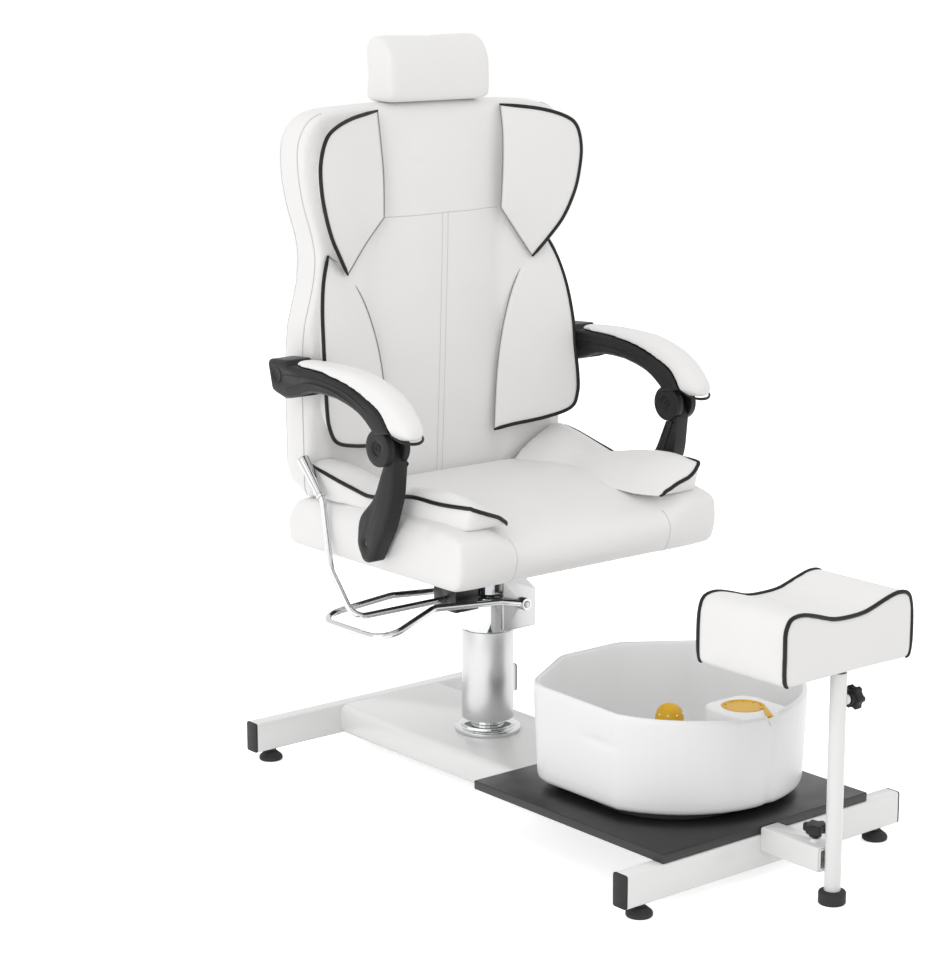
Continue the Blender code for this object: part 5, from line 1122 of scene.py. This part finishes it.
def tub_skin(u, v):
    """Basin: up the outer wall, over the rolled rim with its notch, and down the inner wall to the floor."""
    number = round(v * (len(tub_outlines) - 1))
    point = round(u * tub_points) % tub_points
    place = tub_outlines[number][point].copy()
    rim = 0.259 + 0.012 * (place.y + 0.375) / 0.402
    if place.y < tub_front:
        rim -= 0.005 * math.exp(-((place.x - 0.005) / 0.060) ** 2)
    near_notch = soft_step((0.0105 - abs(place.x - notch_x)) / 0.0035) if place.y < tub_front else 0.0
    groove = math.exp(-((place.x - notch_x) / 0.010) ** 2) if place.y < tub_front else 0.0
    if number < len(tub_stations):
        place.z = tub_low + tub_stations[number][1]
        place.y += 0.0028 * groove
        grip = math.exp(-((place.z - 0.208) / 0.006) ** 2) * math.exp(-((place.y + 0.215) / 0.035) ** 2)
        if abs(place.x - tub_centre) > 0.15:
            place.x += math.copysign(0.0035 * grip, tub_centre - place.x)
    elif number < len(tub_stations) + len(tub_rim):
        place.z = rim + tub_rim[number - len(tub_stations)][1]
        place.z -= 0.013 * near_notch * (1.0 if number < len(tub_stations) + 7 else 0.0)
    else:
        place.z = tub_low + tub_floor[number - len(tub_stations) - len(tub_rim)][1]
    return place


tub = lofted(tub_points, len(tub_outlines) - 1, tub_skin)
ridge_corners = [(-0.005, -0.147, 0), (-0.005, -0.248, 0), (0.045, -0.248, 0), (0.045, -0.147, 0)]
ridge_plan = bent([(0.020, -0.147, 0)] + ridge_corners + [(0.020, -0.147, 0)], [0.022] * 4, 8)[1:-1]
ridge = raised(ridge_plan, 0.104, 0.1927, 0.008)
shelf_corners = [(0.122, -0.243, 0), (0.014, -0.243, 0)]
front_wall = [place for place in tub_outline(0.006) if place.y < tub_front and 0.013 < place.x < 0.123]
front_wall.sort(key=lambda place: place.x)
shelf_plan = bent([front_wall[-1]] + shelf_corners + [front_wall[0]], [0.030] * 2, 8) + front_wall[1:-1]
lid_x = 0.068
lid_y = -0.293
shelf = carved(raised(shelf_plan, 0.188, 0.2375, 0.004), rod(0.0356, 0.2300, 0.26, lid_x, lid_y, 72),
               rod(0.0325, 0.198, 0.26, lid_x, lid_y, 72))
finished("basin_tub", joined(tub, ridge, shelf), abs_white, "basin", "white_plastic", "basin", smooth=50)
finished("basin_rubber_base", eased("basin_base", 0.001), rubber, "basin", "black_plastic", "basin_base")
dome_x = 0.020
dome_y = -0.173
dome_z = 0.1995
dome_radius = 0.0235
dome_profile = [(0, 0.2230)]
for step in range(1, 13):
    turn = math.pi / 24 * step
    dome_profile.append((dome_radius * math.sin(turn), dome_z + dome_radius * math.cos(turn)))
dome_profile += [(dome_radius, 0.1935), (0.0226, 0.1930), (0, 0.1930)]
dome = turned(dome_profile, (dome_x, dome_y, 0), 64)
finished("massage_dome_shell", dome, abs_yellow, "basin", "yellow_plastic", "massage_dome")
nubs = []
nub_count = 9
nub_turn = 1.22
nub_ring = dome_radius * math.sin(nub_turn)
nub_height = dome_z + dome_radius * math.cos(nub_turn)
for number in range(nub_count):
    around = 2 * math.pi * (number + 0.5) / nub_count
    nub = bmesh.new()
    bmesh.ops.create_icosphere(nub, subdivisions=2, radius=0.0017)
    spot = (dome_x + nub_ring * math.cos(around), dome_y + nub_ring * math.sin(around), nub_height)
    nubs.append(moved(nub, spot))
finished("massage_dome_nubs", joined(*nubs), abs_white, "basin", "white_plastic")
lid = turned([(0, 0.2303), (0.0344, 0.2303), (0.0348, 0.2310), (0.0348, 0.2370), (0.0340, 0.2380),
              (0.0322, 0.2380), (0.0312, 0.2366), (0, 0.2364)], (lid_x, lid_y, 0), 72)
holes = []
hole_count = 10
hole_ring = 0.0292
for number in range(hole_count):
    around = 2 * math.pi * (number + 0.3) / hole_count
    x = lid_x + hole_ring * math.cos(around)
    y = lid_y + hole_ring * math.sin(around)
    holes.append(rod(0.0021, 0.225, 0.245, x, y, 16))
tongue = raised([(0.093, -0.316), (0.082, -0.324), (0.049, -0.362), (0.058, -0.370)], 0.2380, 0.2410, 0.0008)
strainer = joined(carved(lid, joined(*holes)), tongue)
finished("infuser_lid_strainer", strainer, abs_yellow, "infuser_lid", "yellow_plastic", "infuser_lid")
